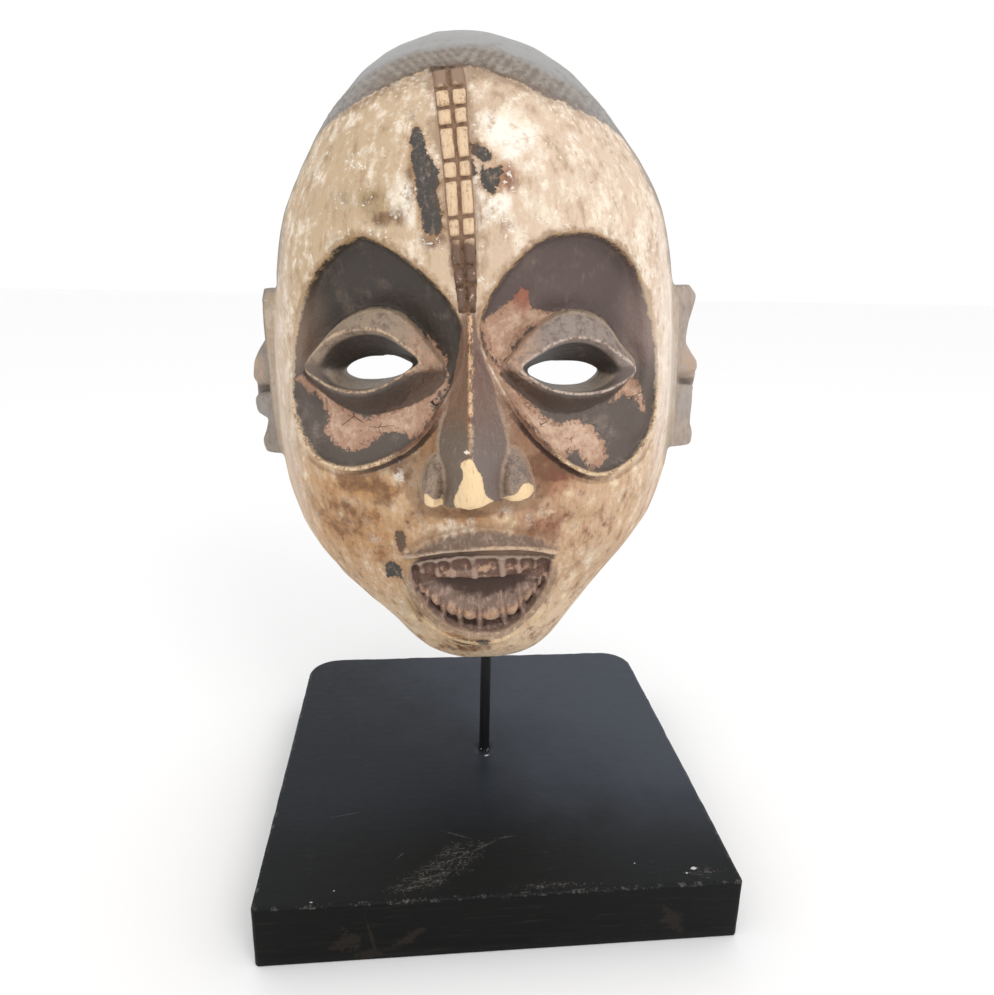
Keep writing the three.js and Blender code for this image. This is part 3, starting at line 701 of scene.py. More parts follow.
def apply(obj, kind, **settings):
    """Adds one modifier and keeps its result as the mesh."""
    modifier = obj.modifiers.new(kind.lower(), kind)
    for key, value in settings.items():
        setattr(modifier, key, value)
    bpy.context.view_layer.update()
    done = bpy.data.meshes.new_from_object(obj.evaluated_get(bpy.context.evaluated_depsgraph_get()))
    obj.modifiers.clear()
    old = obj.data
    obj.data = done
    done.name = obj.name
    bpy.data.meshes.remove(old)
    return obj


def coordinates(mesh):
    co = np.zeros(len(mesh.vertices) * 3, np.float32)
    mesh.vertices.foreach_get("co", co)
    return co.reshape(-1, 3).astype(float)


def hollow_share(local):
    """1 on the hollowed inside and the flat rim, 0 on the outside and in the eye slits."""
    x, d, z = local.T
    half = np.maximum(table(STATIONS, 1, z) - SIDE_WALL / 2, 1)
    deep = np.maximum(table(STATIONS, 2, z) - FRONT_WALL * 5 / 7, 1)
    centre = table(DRIFT, 1, z)
    reach = np.abs((x - centre) / half) ** SECTION_POWER + np.abs(d / deep) ** SECTION_POWER
    inside = (reach < 1) & (z > 12) & (z < TOP - 6) | (d < 1)
    return np.where(inside & ((read(lens, x, z) > 5) | (d < 60)), 1.0, 0.0)


def build_mask():
    """The carved mask as one closed mesh, with more of its triangles on the outside."""
    points, quads = net(*mask_field())
    obj = mesh_object("mask_carving", to_world(points), quads)
    inside = hollow_share(points)
    group = obj.vertex_groups.new(name="keep")
    for level, there in ((OUTSIDE_WEIGHT, inside < 0.5), (1.0, inside > 0.5)):
        group.add(np.flatnonzero(there).tolist(), level, "REPLACE")
    ratio = TRIANGLES / (2 * len(quads))
    if ratio < 1:
        apply(obj, "DECIMATE", ratio=ratio, vertex_group="keep", vertex_group_factor=WEIGHT_FACTOR)
    obj.vertex_groups.clear()
    obj.data.polygons.foreach_set("use_smooth", np.ones(len(obj.data.polygons), bool))
    # The depth d runs against the scene's y, so the faces have come out inside out
    obj.data.flip_normals()
    return obj


# Worn and bare places, drawn on the face: paint gone black, white ground, bare wood
BLACK_CHIPS = [
    [(-16.4, 247.8), (-13.9, 245.8), (-12.4, 241), (-10.3, 235.6), (-8.2, 233.3), (-7.7, 227.9),
     (-8.9, 224.2), (-7.2, 217.3), (-7.7, 210.5), (-11.5, 209), (-14.5, 213), (-14.2, 218), (-15.6, 222),
     (-16, 228.9), (-17.4, 236), (-18, 243.7)],
    [(4.6, 241.7), (8, 241.2), (11.2, 238.9), (12.4, 235.8), (9.9, 235.1), (7.2, 237.2), (4.9, 238.7)],
    [(8.3, 232.9), (11.1, 232.5), (16.3, 233.2), (15.2, 229), (12.5, 223.7), (9.7, 225.3), (8.7, 228.3)],
    [(4.4, 235.7), (6.3, 235), (6.2, 231), (4.4, 231)],
    [(-32.3, 86.7), (-29.8, 86.2), (-29.1, 82.6), (-30.2, 77.5), (-32, 76.8), (-33.3, 79.8),
     (-33.1, 84.2)],
    [(-39.2, 69.4), (-35.1, 70.4), (-32.2, 67), (-32.6, 62.2), (-35.7, 62.6), (-39.6, 61.2), (-40.2, 64)],
    [(-27.8, 91.8), (-26, 91.6), (-26.2, 90), (-27.6, 90)],
    [(-12, 26.5), (-2, 24.3), (6, 24), (5, 22), (-4, 21.5), (-11, 23.5)],
]
WHITE_FLAKES = [
    [(9, 252.7), (16.2, 252.1), (22.5, 249), (28.1, 248.3), (28.8, 242), (22.3, 236.5), (16.7, 235.8),
     (16, 240.4), (10, 243.6)],
    [(4.5, 231), (8, 234.5), (9, 226), (12, 222), (17, 224), (19, 219), (12.5, 213), (8, 221),
     (5.5, 226)],
    [(12.6, 98.5), (17.5, 99.2), (17, 95.5), (13, 96)],
    [(-31.5, 114), (-28, 115), (-27.5, 111.5), (-30.5, 110.5)],
    [(-23, 227), (-18.5, 228), (-17, 220), (-17.5, 212), (-21, 215)],
    [(42.5, 246), (45.8, 246), (45.5, 243.6), (42.8, 243.8)],
    [(24, 233.8), (27, 234), (27, 231.4), (24, 231.6)],
]
BARE_PATCHES = [
    [(5.9, 175.8), (12, 179), (20.3, 184.8), (23, 189), (26.1, 186.2), (28, 181), (37.9, 179.2),
     (35.9, 176), (22.1, 169.6), (17, 160), (10, 163), (8.5, 170)],
    [(-74.5, 152), (-66, 151), (-61.8, 145.5), (-50, 138), (-39, 137.5), (-28, 143), (-17, 153),
     (-10, 152.6), (-10.5, 146), (-14.7, 138), (-19, 132), (-23.4, 129.7), (-34, 131), (-50.3, 121.8),
     (-60, 124), (-63.7, 131.5), (-62, 138), (-68, 146)],
    [(15.9, 150), (23, 146), (29.9, 139.2), (38.2, 133.9), (47, 134), (55.5, 128), (60.4, 116.3),
     (51.5, 113), (45, 121), (38.3, 118.9), (31, 127), (25.8, 133), (20, 141)],
    [(70.4, 150.3), (75.2, 144.3), (77.8, 137.9), (76.4, 134.1), (73.5, 139.2), (68.9, 141.3),
     (64.6, 141.1), (60.4, 140.3), (64.0, 144.7), (67.6, 148.5)],
    [(-21.4, 166.5), (-16.2, 170.5), (-12, 168.5), (-8.5, 164.7), (-7, 159), (-6.9, 152.9), (-8.7, 147),
     (-12.4, 148), (-16.6, 147), (-22.7, 150.1), (-17.5, 153), (-14.5, 157), (-16.5, 161.6)],
    [(8.5, 163), (14.0, 160), (17.5, 157), (19.5, 152.8), (24, 146), (18, 143.5), (13.5, 149.6),
     (10.5, 154.6)],
]
BARE_WOOD = [
    [(2.2, 126.1), (-1.8, 123.7), (-0.9, 119.7), (-3.3, 112.5), (-5.2, 107.9), (-3.5, 103), (1.4, 102),
     (7.5, 103), (11, 105.8), (7.6, 110.9), (6.6, 117.7), (4.6, 121.8)],
    [(-18, 108), (-16.5, 109.5), (-13.3, 106.8), (-10.6, 105.6), (-11.2, 102.6), (-15.2, 101.8),
     (-18, 104)],
    [(27.2, 109), (24, 112.7), (21.2, 111.1), (19.6, 108.8), (16.1, 107.5), (14.3, 105.3), (17.3, 103),
     (23, 103.5), (27, 105.6)],
]
# Broad tints over the face, as soft blobs: across, up, half width, half height, strength
# The brown blob at (-29, 115), under the left socket's inner corner, is a painted shadow; the others are
# stains.
BROWN_STAINS_AND_SHADOW = [
    (-27, 216, 9, 4, 0.8), (-45, 225, 5, 5, 0.35), (-33, 223, 6, 4, 0.45), (-18, 232, 3, 9, 0.8),
    (-17, 253, 2, 6, 0.5), (-10, 208, 5, 4, 0.9), (-52, 210, 7, 3, 0.3), (-3, 199, 2, 7, 0.8),
    (-44, 108, 20, 5, 0.75), (-56, 90, 22, 15, 0.55), (-36, 103, 6, 6, 0.7), (-29, 115, 5, 6, 0.9),
    (-40, 76, 8, 8, 0.45), (-71, 62, 16, 35, 0.35), (-26, 42, 4, 10, 0.7), (-2, 96, 18, 3, 0.7),
    (-12, 123, 4, 13, 0.45), (35, 114, 11, 6, 0.95), (32, 91, 12, 11, 0.6), (45, 99, 14, 13, 0.35),
    (53, 74, 8, 16, 0.3), (-4, 18, 11, 4, 0.7), (30, 47, 6, 15, 0.3), (18, 229, 4, 7, 0.55),
    (14, 213, 11, 6, 0.35), (59, 237, 8, 6, 0.3), (63, 206, 7, 8, 0.2), (38, 208, 8, 4, 0.35),
    (-69, 185, 4, 25, 0.2), (-5, 138, 5, 20, 0.6), (22, 185, 10, 4, 0.2), (-15, 139, 5, 11, 0.55),
    (21, 139, 4, 12, 0.5), (30, 119, 8, 5, 0.9), (-24, 121, 9, 5, 0.6), (-21, 101, 4, 14, 0.5),
    (29, 103, 5, 9, 0.5),
]
ORANGE_STAINS = [
    (-48, 106, 23, 7, 0.8), (-57, 87, 24, 17, 0.6), (36, 110, 13, 9, 0.8), (32, 89, 14, 13, 0.6),
    (-2, 94, 22, 6, 0.6), (18, 229, 4, 6, 0.8), (-38, 82, 14, 16, 0.5), (-23, 93, 4, 15, 0.3),
    (48, 84, 12, 30, 0.35), (-3, 25, 24, 14, 0.4), (-25, 56, 7, 16, 0.4), (-15, 134, 7, 16, 0.8),
    (25, 130, 8, 15, 0.8), (30, 118, 10, 7, 0.7),
]
# The pale blob at (74, 198) on the right temple is a painted glare; the others are worn white.
PALE_AREAS_AND_GLARE = [
    (-23, 223, 5, 9, 0.7), (-32, 236, 10, 7, 0.3), (-22, 248, 4, 13, 0.4), (18, 250, 9, 6, 0.8),
    (31, 254, 12, 8, 0.25), (14, 221, 5, 4, 0.9), (38, 236, 21, 16, 0.38), (-53, 243, 16, 12, 0.25),
    (54, 221, 13, 11, 0.5), (-7, 262, 5, 6, 0.5), (-43, 255, 11, 6, 0.4), (69, 104, 9, 38, 0.4),
    (51, 131, 4, 4, 0.3), (-38, 41, 13, 52, 0.35), (21, 21, 18, 13, 0.3), (17, 72, 27, 3, 0.2),
    (49, 67, 12, 15, 0.4), (-7, 89, 14, 5, 0.5), (12, 10, 18, 6, 0.5), (-18, 12, 8, 6, 0.4),
    (22, 90, 8, 6, 0.4), (-76, 129, 5, 42, 0.4), (-70, 213, 5, 24, 0.35), (74, 198, 6, 40, 0.6),
]
OLIVE_STAINS = [
    (-32, 221, 12, 8, 0.6), (-45, 223, 12, 11, 0.4), (-48, 242, 17, 12, 0.3), (-44, 208, 16, 4, 0.35),
    (-25, 50, 14, 25, 0.5), (-18, 24, 20, 12, 0.3), (-71, 86, 14, 59, 0.25), (48, 91, 8, 7, 0.4),
]


def nearest_patch(outlines):
    """Distance to the nearest of several outlines, negative inside them."""
    return np.minimum.reduce([distance(curve(outline, steps=5)) for outline in outlines])


def blobs(rows, x, z):
    """The strongest of several soft blobs at each point."""
    total = np.zeros(x.shape)
    for cx, cz, wide, tall, strength in rows:
        total = np.maximum(total, strength * np.exp(-0.7 * (((x - cx) / wide) ** 2 + ((z - cz) / tall) ** 2)))
    return total


def add_attributes(obj):
    """What the materials need to know at each point: where it is, and how far from each edge."""
    local = to_local(coordinates(obj.data))
    x, d, z = local.T
    maps = {
        "socket_mm": socket,
        "lid_mm": lid,
        "lens_mm": lens,
        "lip_mm": lip,
        "pocket_mm": pocket,
        "hair_mm": hair,
        "tablet": tablet,
        "trench": trench,
        "relief_mm": carved,
        "fine_relief": carved - blur(carved, 1.3),
        "broad_relief": carved - blur(carved, 4.5),
        "wing_mm": nearest_patch(NOSE_WINGS),
        "chip_mm": nearest_patch(BLACK_CHIPS),
        "flake_mm": nearest_patch(WHITE_FLAKES),
        "patch_mm": nearest_patch(BARE_PATCHES),
        "wood_mm": nearest_patch(BARE_WOOD),
    }
    values = {name: read(field, x, z) for name, field in maps.items()}
    stains = {"brown": BROWN_STAINS_AND_SHADOW, "orange": ORANGE_STAINS, "pale": PALE_AREAS_AND_GLARE, "olive": OLIVE_STAINS}
    values |= {name: blobs(rows, x, z) for name, rows in stains.items()}
    edges = {"crest_mm": UPPER_LIP_LINE, "teeth_mm": TEETH_TOP, "tips_mm": TOOTH_TIPS}
    values |= {name: z - straight(rows, x) for name, rows in edges.items()}
    left, right = (straight(NOSE_EDGE[side][::-1], z) for side in (-1, 1))
    values["plane_mm"] = np.minimum(x - left, right - x)
    values["ridge_mm"] = x - straight(NOSE_RIDGE, z)
    values["below_face"] = read(dome + carved, x, z) - d
    values["hollow"] = hollow_share(local)
    for name, value in values.items():
        attribute = obj.data.attributes.new(name, "FLOAT", "POINT")
        attribute.data.foreach_set("value", value.astype(np.float32))
    place = obj.data.attributes.new("face", "FLOAT_VECTOR", "POINT")
    place.data.foreach_set("vector", local.astype(np.float32).ravel())


def operator(operation, swap=False):
    """An operator of Number, which adds one math node."""
    def work(self, other):
        first, second = (other, self) if swap else (self, other)
        return self.paint.math(operation, first, second)

    return work


class Number:
    """A number that varies over a surface, worked out by shader nodes; sums and products make more nodes."""

    __add__ = operator("ADD")
    __radd__ = operator("ADD", swap=True)
    __sub__ = operator("SUBTRACT")
    __rsub__ = operator("SUBTRACT", swap=True)
    __mul__ = operator("MULTIPLY")
    __rmul__ = operator("MULTIPLY", swap=True)

    def __init__(self, paint, socket):
        self.paint = paint
        self.socket = socket


def tone(red, green, blue):
    """A colour from its 0 to 255 values on screen."""
    linear = [c / 255 / 12.92 if c < 10 else ((c / 255 + 0.055) / 1.055) ** 2.4 for c in (red, green, blue)]
    return (*linear, 1)


class Paint:
    """One material, with short ways to add the shader nodes that it needs; x, y and z are in mm."""

    def __init__(self, name, place=None):
        self.material = bpy.data.materials.new(name)
        self.material.use_nodes = True
        self.tree = self.material.node_tree
        self.shader = self.tree.nodes["Principled BSDF"]
        self.known = {}
        if place:
            self.place = self.node("ShaderNodeAttribute", attribute_name=place).outputs["Vector"]
            self.size = 1.0
        else:
            self.place = self.node("ShaderNodeTexCoord").outputs["Object"]
            self.size = 1 / MM
        split = self.node("ShaderNodeSeparateXYZ")
        self.tree.links.new(self.place, split.inputs[0])
        axes = [Number(self, socket) for socket in split.outputs]
        self.x, self.y, self.z = axes if place else [axis * self.size for axis in axes]

    def node(self, kind, **settings):
        node = self.tree.nodes.new(kind)
        for key, value in settings.items():
            setattr(node, key, value)
        return node

    def plug(self, value, socket):
        if isinstance(value, Number):
            self.tree.links.new(value.socket, socket)
        else:
            socket.default_value = value

    def math(self, operation, *values):
        node = self.node("ShaderNodeMath", operation=operation)
        for value, socket in zip(values, node.inputs):
            self.plug(value, socket)
        return Number(self, node.outputs[0])

    def absolute(self, value):
        return self.math("ABSOLUTE", value)

    def most(self, *values):
        return functools.reduce(lambda one, other: self.math("MAXIMUM", one, other), values)

    def read(self, name):
        """A value that the mesh holds at each point."""
        if name not in self.known:
            node = self.node("ShaderNodeAttribute", attribute_name=name)
            self.known[name] = Number(self, node.outputs["Fac"])
        return self.known[name]

    def textured(self, node, size, stretch, seed):
        """A texture node with features of the given size in mm, moved aside by its seed."""
        shift = self.node("ShaderNodeVectorMath", operation="MULTIPLY_ADD")
        self.tree.links.new(self.place, shift.inputs[0])
        shift.inputs[1].default_value = [self.size / (size * share) for share in stretch]
        shift.inputs[2].default_value = [seed * shift_by for shift_by in SEED_SHIFT]
        self.tree.links.new(shift.outputs[0], node.inputs["Vector"])
        node.inputs["Scale"].default_value = 1
        return node

    def noise(self, size, stretch=(1, 1, 1), seed=0, detail=4, rough=0.55):
        """Uneven values about 0, mostly within 1 of it."""
        node = self.textured(self.node("ShaderNodeTexNoise"), size, stretch, seed)
        node.inputs["Detail"].default_value = detail
        node.inputs["Roughness"].default_value = rough
        return (Number(self, node.outputs["Fac"]) - 0.5) * NOISE_GAIN

    def cracks(self, size, stretch, seed):
        """Distance to the edges of irregular cells, 0 on them, as a share of the cell size."""
        node = self.node("ShaderNodeTexVoronoi", feature="DISTANCE_TO_EDGE")
        return Number(self, self.textured(node, size, stretch, seed).outputs["Distance"])

    def step(self, value, low, high):
        """0 below low, 1 above high, and a smooth rise between them; it falls where low is above high."""
        node = self.node("ShaderNodeMapRange", interpolation_type="SMOOTHSTEP")
        self.plug(value, node.inputs["Value"])
        ends = (low, high, 0, 1) if low <= high else (high, low, 1, 0)
        for name, end in zip(("From Min", "From Max", "To Min", "To Max"), ends):
            node.inputs[name].default_value = end
        return Number(self, node.outputs[0])

    def near(self, value, wide, narrow):
        """1 where the value is within narrow of 0, falling to 0 where it is wide away."""
        return self.step(self.absolute(value), wide, narrow)

    def mix(self, under, over, share):
        """One colour laid over another where share is 1; a plain one is red, green and blue up to 255."""
        node = self.node("ShaderNodeMix", data_type="RGBA")
        for value, slot in ((share, 0), (under, 6), (over, 7)):
            self.plug(tone(*value) if isinstance(value, tuple) else value, node.inputs[slot])
        return Number(self, node.outputs[2])

    def layers(self, colour, *rows):
        """More colours laid over the first one, each row with a colour and the share that it covers."""
        for over, share in rows:
            colour = self.mix(colour, over, share)
        return colour

    def bump(self, height, strength):
        """Tilts the light's view of the surface by a height in mm."""
        node = self.node("ShaderNodeBump")
        node.inputs["Strength"].default_value = strength
        node.inputs["Distance"].default_value = MM
        self.plug(height, node.inputs["Height"])
        return Number(self, node.outputs[0])

    def finish(self, colour, rough, specular, normal=None):
        self.plug(colour, self.shader.inputs["Base Color"])
        self.plug(rough, self.shader.inputs["Roughness"])
        self.shader.inputs["Specular IOR Level"].default_value = specular
        if normal:
            self.plug(normal, self.shader.inputs["Normal"])
        return self.material


class FacePaint(Paint):
    """The mask's material, with the unevenness that all its parts share; y is the depth from the rim."""

    def __init__(self):
        super().__init__("carved_wood", "face")
        self.mottle = self.noise(3.6, seed=3, detail=4, rough=0.62)
        self.fine = self.noise(1.3, seed=4, detail=3, rough=0.7)
        self.streak = self.noise(2.0, stretch=(1, 1, 3.0), seed=5, detail=3, rough=0.6)
        self.ragged = 0.5 * self.mottle + 0.3 * self.fine
        self.sideways = self.absolute(self.x - MIDDLE)
        self.relief = self.read("relief_mm")


def kaolin(p):
    """The whitened face: a chalky coat, rubbed thin, with stains and pits, and some painted light, glare and
    shadow.
    """
    mottle, fine, streak = p.mottle, p.fine, p.streak
    broad = p.noise(28, seed=1, detail=2)
    cloud = p.noise(10, seed=2, detail=3)
    daub = p.noise(5.5, stretch=(1, 1, 2.6), seed=9, detail=4, rough=0.62)
    # The coat is lighter towards the viewer's right: partly its own tone, partly painted light from that
    # side.
    right = p.step(p.x + 8 * broad, -50, 60)
    low = p.step(p.z + 8 * cloud, 152, 100)
    blotch = 0.5 * daub + 0.8 * cloud + 0.55 * mottle
    coat = p.layers(
        p.mix((198, 172, 140), (218, 193, 170), right),
        (p.mix((194, 154, 114), (240, 208, 172), p.step(p.z, 60, 30)), low * 0.7),
        ((150, 122, 92), p.step(daub - 0.3 * mottle, 0.1, 1.3) * 0.58),
        ((238, 221, 200), p.step(cloud + 0.8 * mottle - 0.9 * daub, -0.3, 1.5) * (0.95 - 0.55 * low)),
        ((160, 132, 104), p.step(mottle + 0.5 * streak - 0.4 * broad, 0.15, 1.6) * 0.5),
        ((146, 100, 66), low * p.step(blotch, 0.2, 1.3) * 0.7),
        ((112, 72, 48), low * p.step(blotch + 0.5 * fine, 1.1, 2.0) * 0.6),
        ((240, 218, 186), low * p.step(0.5 * mottle - blotch, 0.2, 1.4) * 0.75),
    )
    olive = p.step(p.read("olive") + 0.15 * cloud + 0.12 * mottle, 0.15, 0.65)
    orange = p.step(p.read("orange") + 0.2 * cloud + 0.16 * streak, 0.15, 0.8)
    # Brown blobs are stains, but for one painted shadow under the left socket's inner corner.
    brown = p.step(p.read("brown") + 0.24 * mottle + 0.15 * cloud, 0.25, 0.85)
    # Pale blobs are worn white, but for a painted glare at the right temple.
    pale = p.step(p.read("pale") + 0.2 * mottle + 0.1 * fine - 0.18 * daub, 0.25, 0.85)
    specks = p.step(p.noise(1.8, seed=6, detail=2, rough=0.6) + 0.5 * cloud - 0.9 * low, 0.75, 1.3)
    scratch = p.step(p.noise(1.2, stretch=(1, 1, 6), seed=7, detail=2) + 0.4 * cloud, 0.8, 1.5)
    pits = p.step(p.noise(2.3, seed=8, detail=3, rough=0.75) - 0.3 * broad + 0.2 * low, 1.15, 1.5)
    rightward = p.step(p.x, 0, 20)
    coat = p.layers(
        coat,
        ((156, 132, 94), olive * 0.7),
        (p.mix((180, 128, 78), (158, 104, 74), rightward), orange * 0.75),
        (p.mix((108, 74, 48), (110, 66, 50), rightward), brown * 0.85),
        ((246, 232, 212), pale * 0.8),
        ((250, 240, 224), specks * 0.75),
        ((122, 90, 64), scratch * 0.35),
        ((82, 60, 46), pits * 0.75),
    )
    return coat, daub


def flakes_and_chips(p, coat, daub):
    """Thick white that still holds, and dark places where the white came off; also gives both shares."""
    mottle, fine, streak = p.mottle, p.fine, p.streak
    ragged = 0.9 * mottle + 0.7 * fine
    flake = p.step(p.read("flake_mm") + 2.2 * ragged, 1.4, -1.8)
    around = p.step(p.read("chip_mm") + 1.4 * ragged, 2.6, 0.4)
    chip = p.step(p.read("chip_mm") + 0.9 * ragged, 0.4, -0.3)
    cheek = p.step(p.z, 92, 88) * p.step(p.z, 72, 76)
    bare = p.mix((74, 68, 64), (112, 102, 94), p.step(streak + fine, -0.3, 1.8))
    bare = p.mix(bare, (104, 82, 66), cheek * 0.8)
    coat = p.layers(
        coat,
        ((250, 242, 230), flake * p.step(mottle + 0.4 * fine - 0.5 * daub, -1.4, 0.5) * 0.85),
        ((168, 130, 96), around * 0.6),
        (bare, chip * (1 - 0.35 * p.step(mottle + streak, 0.6, 1.6))),
    )
    return coat, flake, chip


def socket_paint(p):
    """The dark dished sockets, with bare red-brown patches and worn lids, painted light on the right socket
    and a painted shadow under the lower lids.
    """
    mottle, fine, streak = p.mottle, p.fine, p.streak
    patch_mm, lid_mm = p.read("patch_mm"), p.read("lid_mm")
    # Towards the right socket the paint turns lighter and pinker: the lightness is painted light from that
    # side.
    right = p.step(p.x, 0, 6)
    cloud = p.noise(14, seed=11)
    outer = p.step(p.sideways - 0.10 * (p.z - 170), 56, 76) * p.step(p.z, 142, 160)
    dish = p.step(p.z - 0.12 * p.sideways, 158, 140)
    hair = p.near(p.noise(6, seed=14, detail=3), 0.06, 0.01) * p.step(cloud - 0.5 * mottle, -0.2, 0.8)
    paint = p.layers(
        p.mix((69, 62, 56), (94, 80, 76), right),
        ((120, 102, 92), p.step(cloud + 0.5 * mottle + 0.3 * streak, -0.1, 1.5) * 0.5),
        ((142, 124, 112), p.step(streak + 0.5 * cloud, 0.7, 1.9) * 0.35),
        (p.mix((142, 120, 105), (158, 138, 130), right), outer * 0.75),
        ((98, 88, 80), dish * 0.8),
        ((132, 118, 110), dish * p.step(cloud + 0.8 * mottle, 0.1, 1.6) * 0.5),
        ((168, 152, 142), hair * dish * 0.4),
    )
    edge = p.near(patch_mm + 0.9 + 0.8 * mottle, 1.6, 0.3)
    reddish = p.step(p.absolute(p.x - 24) - 0.8 * (p.z - 184), 8, 1) * p.step(p.z, 170, 180)
    bare = p.layers(
        p.mix((176, 138, 114), (212, 180, 156), p.step(mottle + 0.6 * cloud, -0.8, 1.2)),
        ((132, 90, 66), p.step(fine + 0.8 * mottle - 0.5 * cloud, 0.3, 1.6) * 0.5),
        ((122, 76, 56), edge * p.step(fine + mottle, -0.6, 0.8) * 0.7),
        ((148, 86, 66), reddish * 0.8),
    )
    patch = p.step(patch_mm + 1.4 * mottle + 0.4 * fine + 0.8 * cloud, 0.5, -0.6)
    patch = patch * p.step(0.5 * mottle + fine, 2.2, 1.6)
    crack = p.step(p.cracks(8, (1.7, 1, 0.8), 2) + 0.012 * mottle, 0.028, 0.008) * dish
    crack = crack * p.step(p.noise(9, seed=13, detail=2), 0.1, 0.7) * p.step(p.z, 122, 128)
    lid = p.step(lid_mm + 0.4 * mottle, 0.5, -0.4)
    upper = p.step(p.z - EYE_LINE + EYE_TILT * p.x, -1.5, 2.0)
    lid_light = p.mix((160, 140, 120), (153, 138, 128), right)
    lid_dark = p.mix((120, 102, 88), (116, 102, 94), right)
    lid_tone = p.mix(lid_light, lid_dark, p.step(mottle + 0.6 * fine, -0.6, 1.2))
    lid_tone = p.mix(lid_tone, (92, 80, 70), p.step(mottle + cloud, 0.8, 1.9) * 0.6)
    lid_edge = p.near(lid_mm + 0.4 + 0.4 * mottle, 1.1, 0.2)
    inner_lid = lid * p.step(p.sideways + 2.5 * mottle, 31, 19)
    # Painted shadow in the trough under each lower lid.
    below = lid * (1 - upper) * p.step(p.read("lens_mm") + 0.5 * mottle, 1.6, 3.0)
    return p.layers(
        paint,
        (bare, patch),
        ((44, 32, 27), crack * p.step(patch_mm, 1.5, -0.5)),
        (lid_tone, lid * upper * 0.9),
        ((186, 164, 138), lid_edge * upper * 0.55),
        (bare, inner_lid * p.step(mottle + fine, -1.2, 0.3) * 0.9),
        ((72, 58, 50), below * 0.85),
    )


def rims(p, colour):
    """The sockets' paint with pale, worn rims, and the rubbed bridge of the nose; also gives the inside."""
    mottle, fine, ragged = p.mottle, p.fine, p.ragged
    socket_mm = p.read("socket_mm")
    above = p.step(socket_mm + 1.5 * mottle, 3.2, 0.4) * p.step(p.z, 165, 185)
    shadow = p.near(socket_mm - 2.2 + 0.6 * ragged, 1.7, 0.7) * p.step(p.z, 150, 138)
    shadow = shadow * p.step(p.sideways + 3 * mottle, 64, 42)
    inside = p.step(socket_mm + ragged, 0.3, -0.5)
    brow = p.near(socket_mm - 0.3 + ragged, 1.3, 0.3) * p.step(p.z, 158, 172)
    outer_edge = p.near(socket_mm + 0.6 + 1.2 * ragged, 1.2, 0.2) * p.step(p.sideways, 66, 74)
    low_rim = p.near(socket_mm + 0.1 + 0.5 * ragged, 1.1, 0.4) * p.step(p.z, 152, 138)
    light = p.mix((226, 198, 162), (150, 116, 90), p.step(mottle + fine, -0.2, 1.0))
    dull = p.mix((128, 90, 68), (88, 64, 52), p.step(mottle + fine, -0.3, 0.9))
    bridge = p.step(p.absolute(p.x - 2) + 2 * mottle, 24, 15) * p.step(p.z, 130, 140)
    bridge = bridge * p.step(p.z, 184, 176) * p.step(socket_mm, 0, 1)
    colour = p.layers(
        colour,
        ((128, 92, 60), above * 0.55),
        ((50, 34, 29), shadow * 0.9),
        (socket_paint(p), inside),
        ((190, 156, 112), brow * p.step(fine + 0.8 * mottle, -0.7, 0.8) * 0.8),
        ((214, 192, 166), outer_edge * 0.6),
        (p.mix(dull, light, p.step(p.sideways + 3 * mottle, 30, 40)),
         low_rim * p.step(fine + 0.7 * mottle, 2.0, 0.9)),
        (p.mix((140, 106, 86), (184, 152, 128), p.step(mottle + fine, 0.0, 1.4)), bridge * 0.8),
    )
    return colour, inside


def nose(p, colour):
    """The dark planes of the nose, its worn lines and the bare wood at the tip; also gives both shares."""
    mottle, fine, streak, ragged = p.mottle, p.fine, p.streak, p.ragged
    ridge, plane, wing = p.read("ridge_mm"), p.read("plane_mm"), p.read("wing_mm")
    above = p.step(p.z, 101.0, 102.5)
    on_plane = p.step(plane + 0.8 * ragged, -0.4, 0.6) * p.step(p.z, 186, 176)
    on_wing = p.step(wing + 0.4 * ragged, 0.5, -0.5) * p.step(p.relief, 0.5, 2.5)
    on_nose = p.most(on_plane, on_wing) * above
    left = p.mix((134, 104, 84), (112, 97, 83), p.step(p.z + 4 * mottle, 146, 132))
    right = p.mix((128, 104, 94), (118, 104, 97), p.step(p.z + 6 * streak, 150, 126))
    wing_light = on_wing * p.step(plane, 0.5, -0.5) * p.step(mottle + fine, -1.2, 1.0)
    paint = p.layers(
        p.mix(left, right, p.step(ridge + ragged, -0.5, 0.5)),
        ((156, 138, 124), p.step(streak + 0.6 * fine, 0.3, 1.6) * 0.5),
        ((96, 62, 46), p.step(mottle + 0.5 * streak, 0.6, 1.5) * p.step(p.z, 128, 140) * 0.6),
        ((166, 142, 122), wing_light * 0.8),
    )
    rim = p.near(wing - 0.3 + 0.3 * ragged, 0.9, 0.25) * above * p.step(plane, 1.5, 0.5)
    side_line = p.near(plane + 0.3 * ragged, 1.3, 0.4) * p.step(p.z, 150, 142) * above
    line = p.near(ridge - 0.3 + 1.4 * ragged, 1.4, 0.3) * p.step(p.z, 120, 126) * p.step(p.z, 187, 181)
    line_tone = p.mix((224, 188, 148), (120, 82, 60), p.step(mottle + 0.9 * fine, -0.6, 0.7))
    wood = p.step(p.read("wood_mm") + 0.6 * ragged, 0.25, -0.25) * p.step(p.relief, 3, 6)
    grain = p.noise(0.8, stretch=(1, 1, 9), seed=21, detail=3)
    nick = p.absolute(p.x - 0.8) + 1.3 * p.absolute(p.z - 128.3) + 1.2 * ragged
    colour = p.layers(
        colour,
        (paint, on_nose),
        ((172, 148, 128), p.most(rim, side_line) * p.step(fine + mottle, -1.4, 0.0) * 0.85),
        (line_tone, line * (0.5 + 0.5 * p.step(p.z, 134, 142))),
        (p.mix((238, 208, 164), (206, 164, 116), p.step(grain, 0.2, 1.6)), wood),
        ((240, 222, 204), p.step(nick, 1.5, 1.0) * on_nose),
    )
    return colour, on_nose, wood


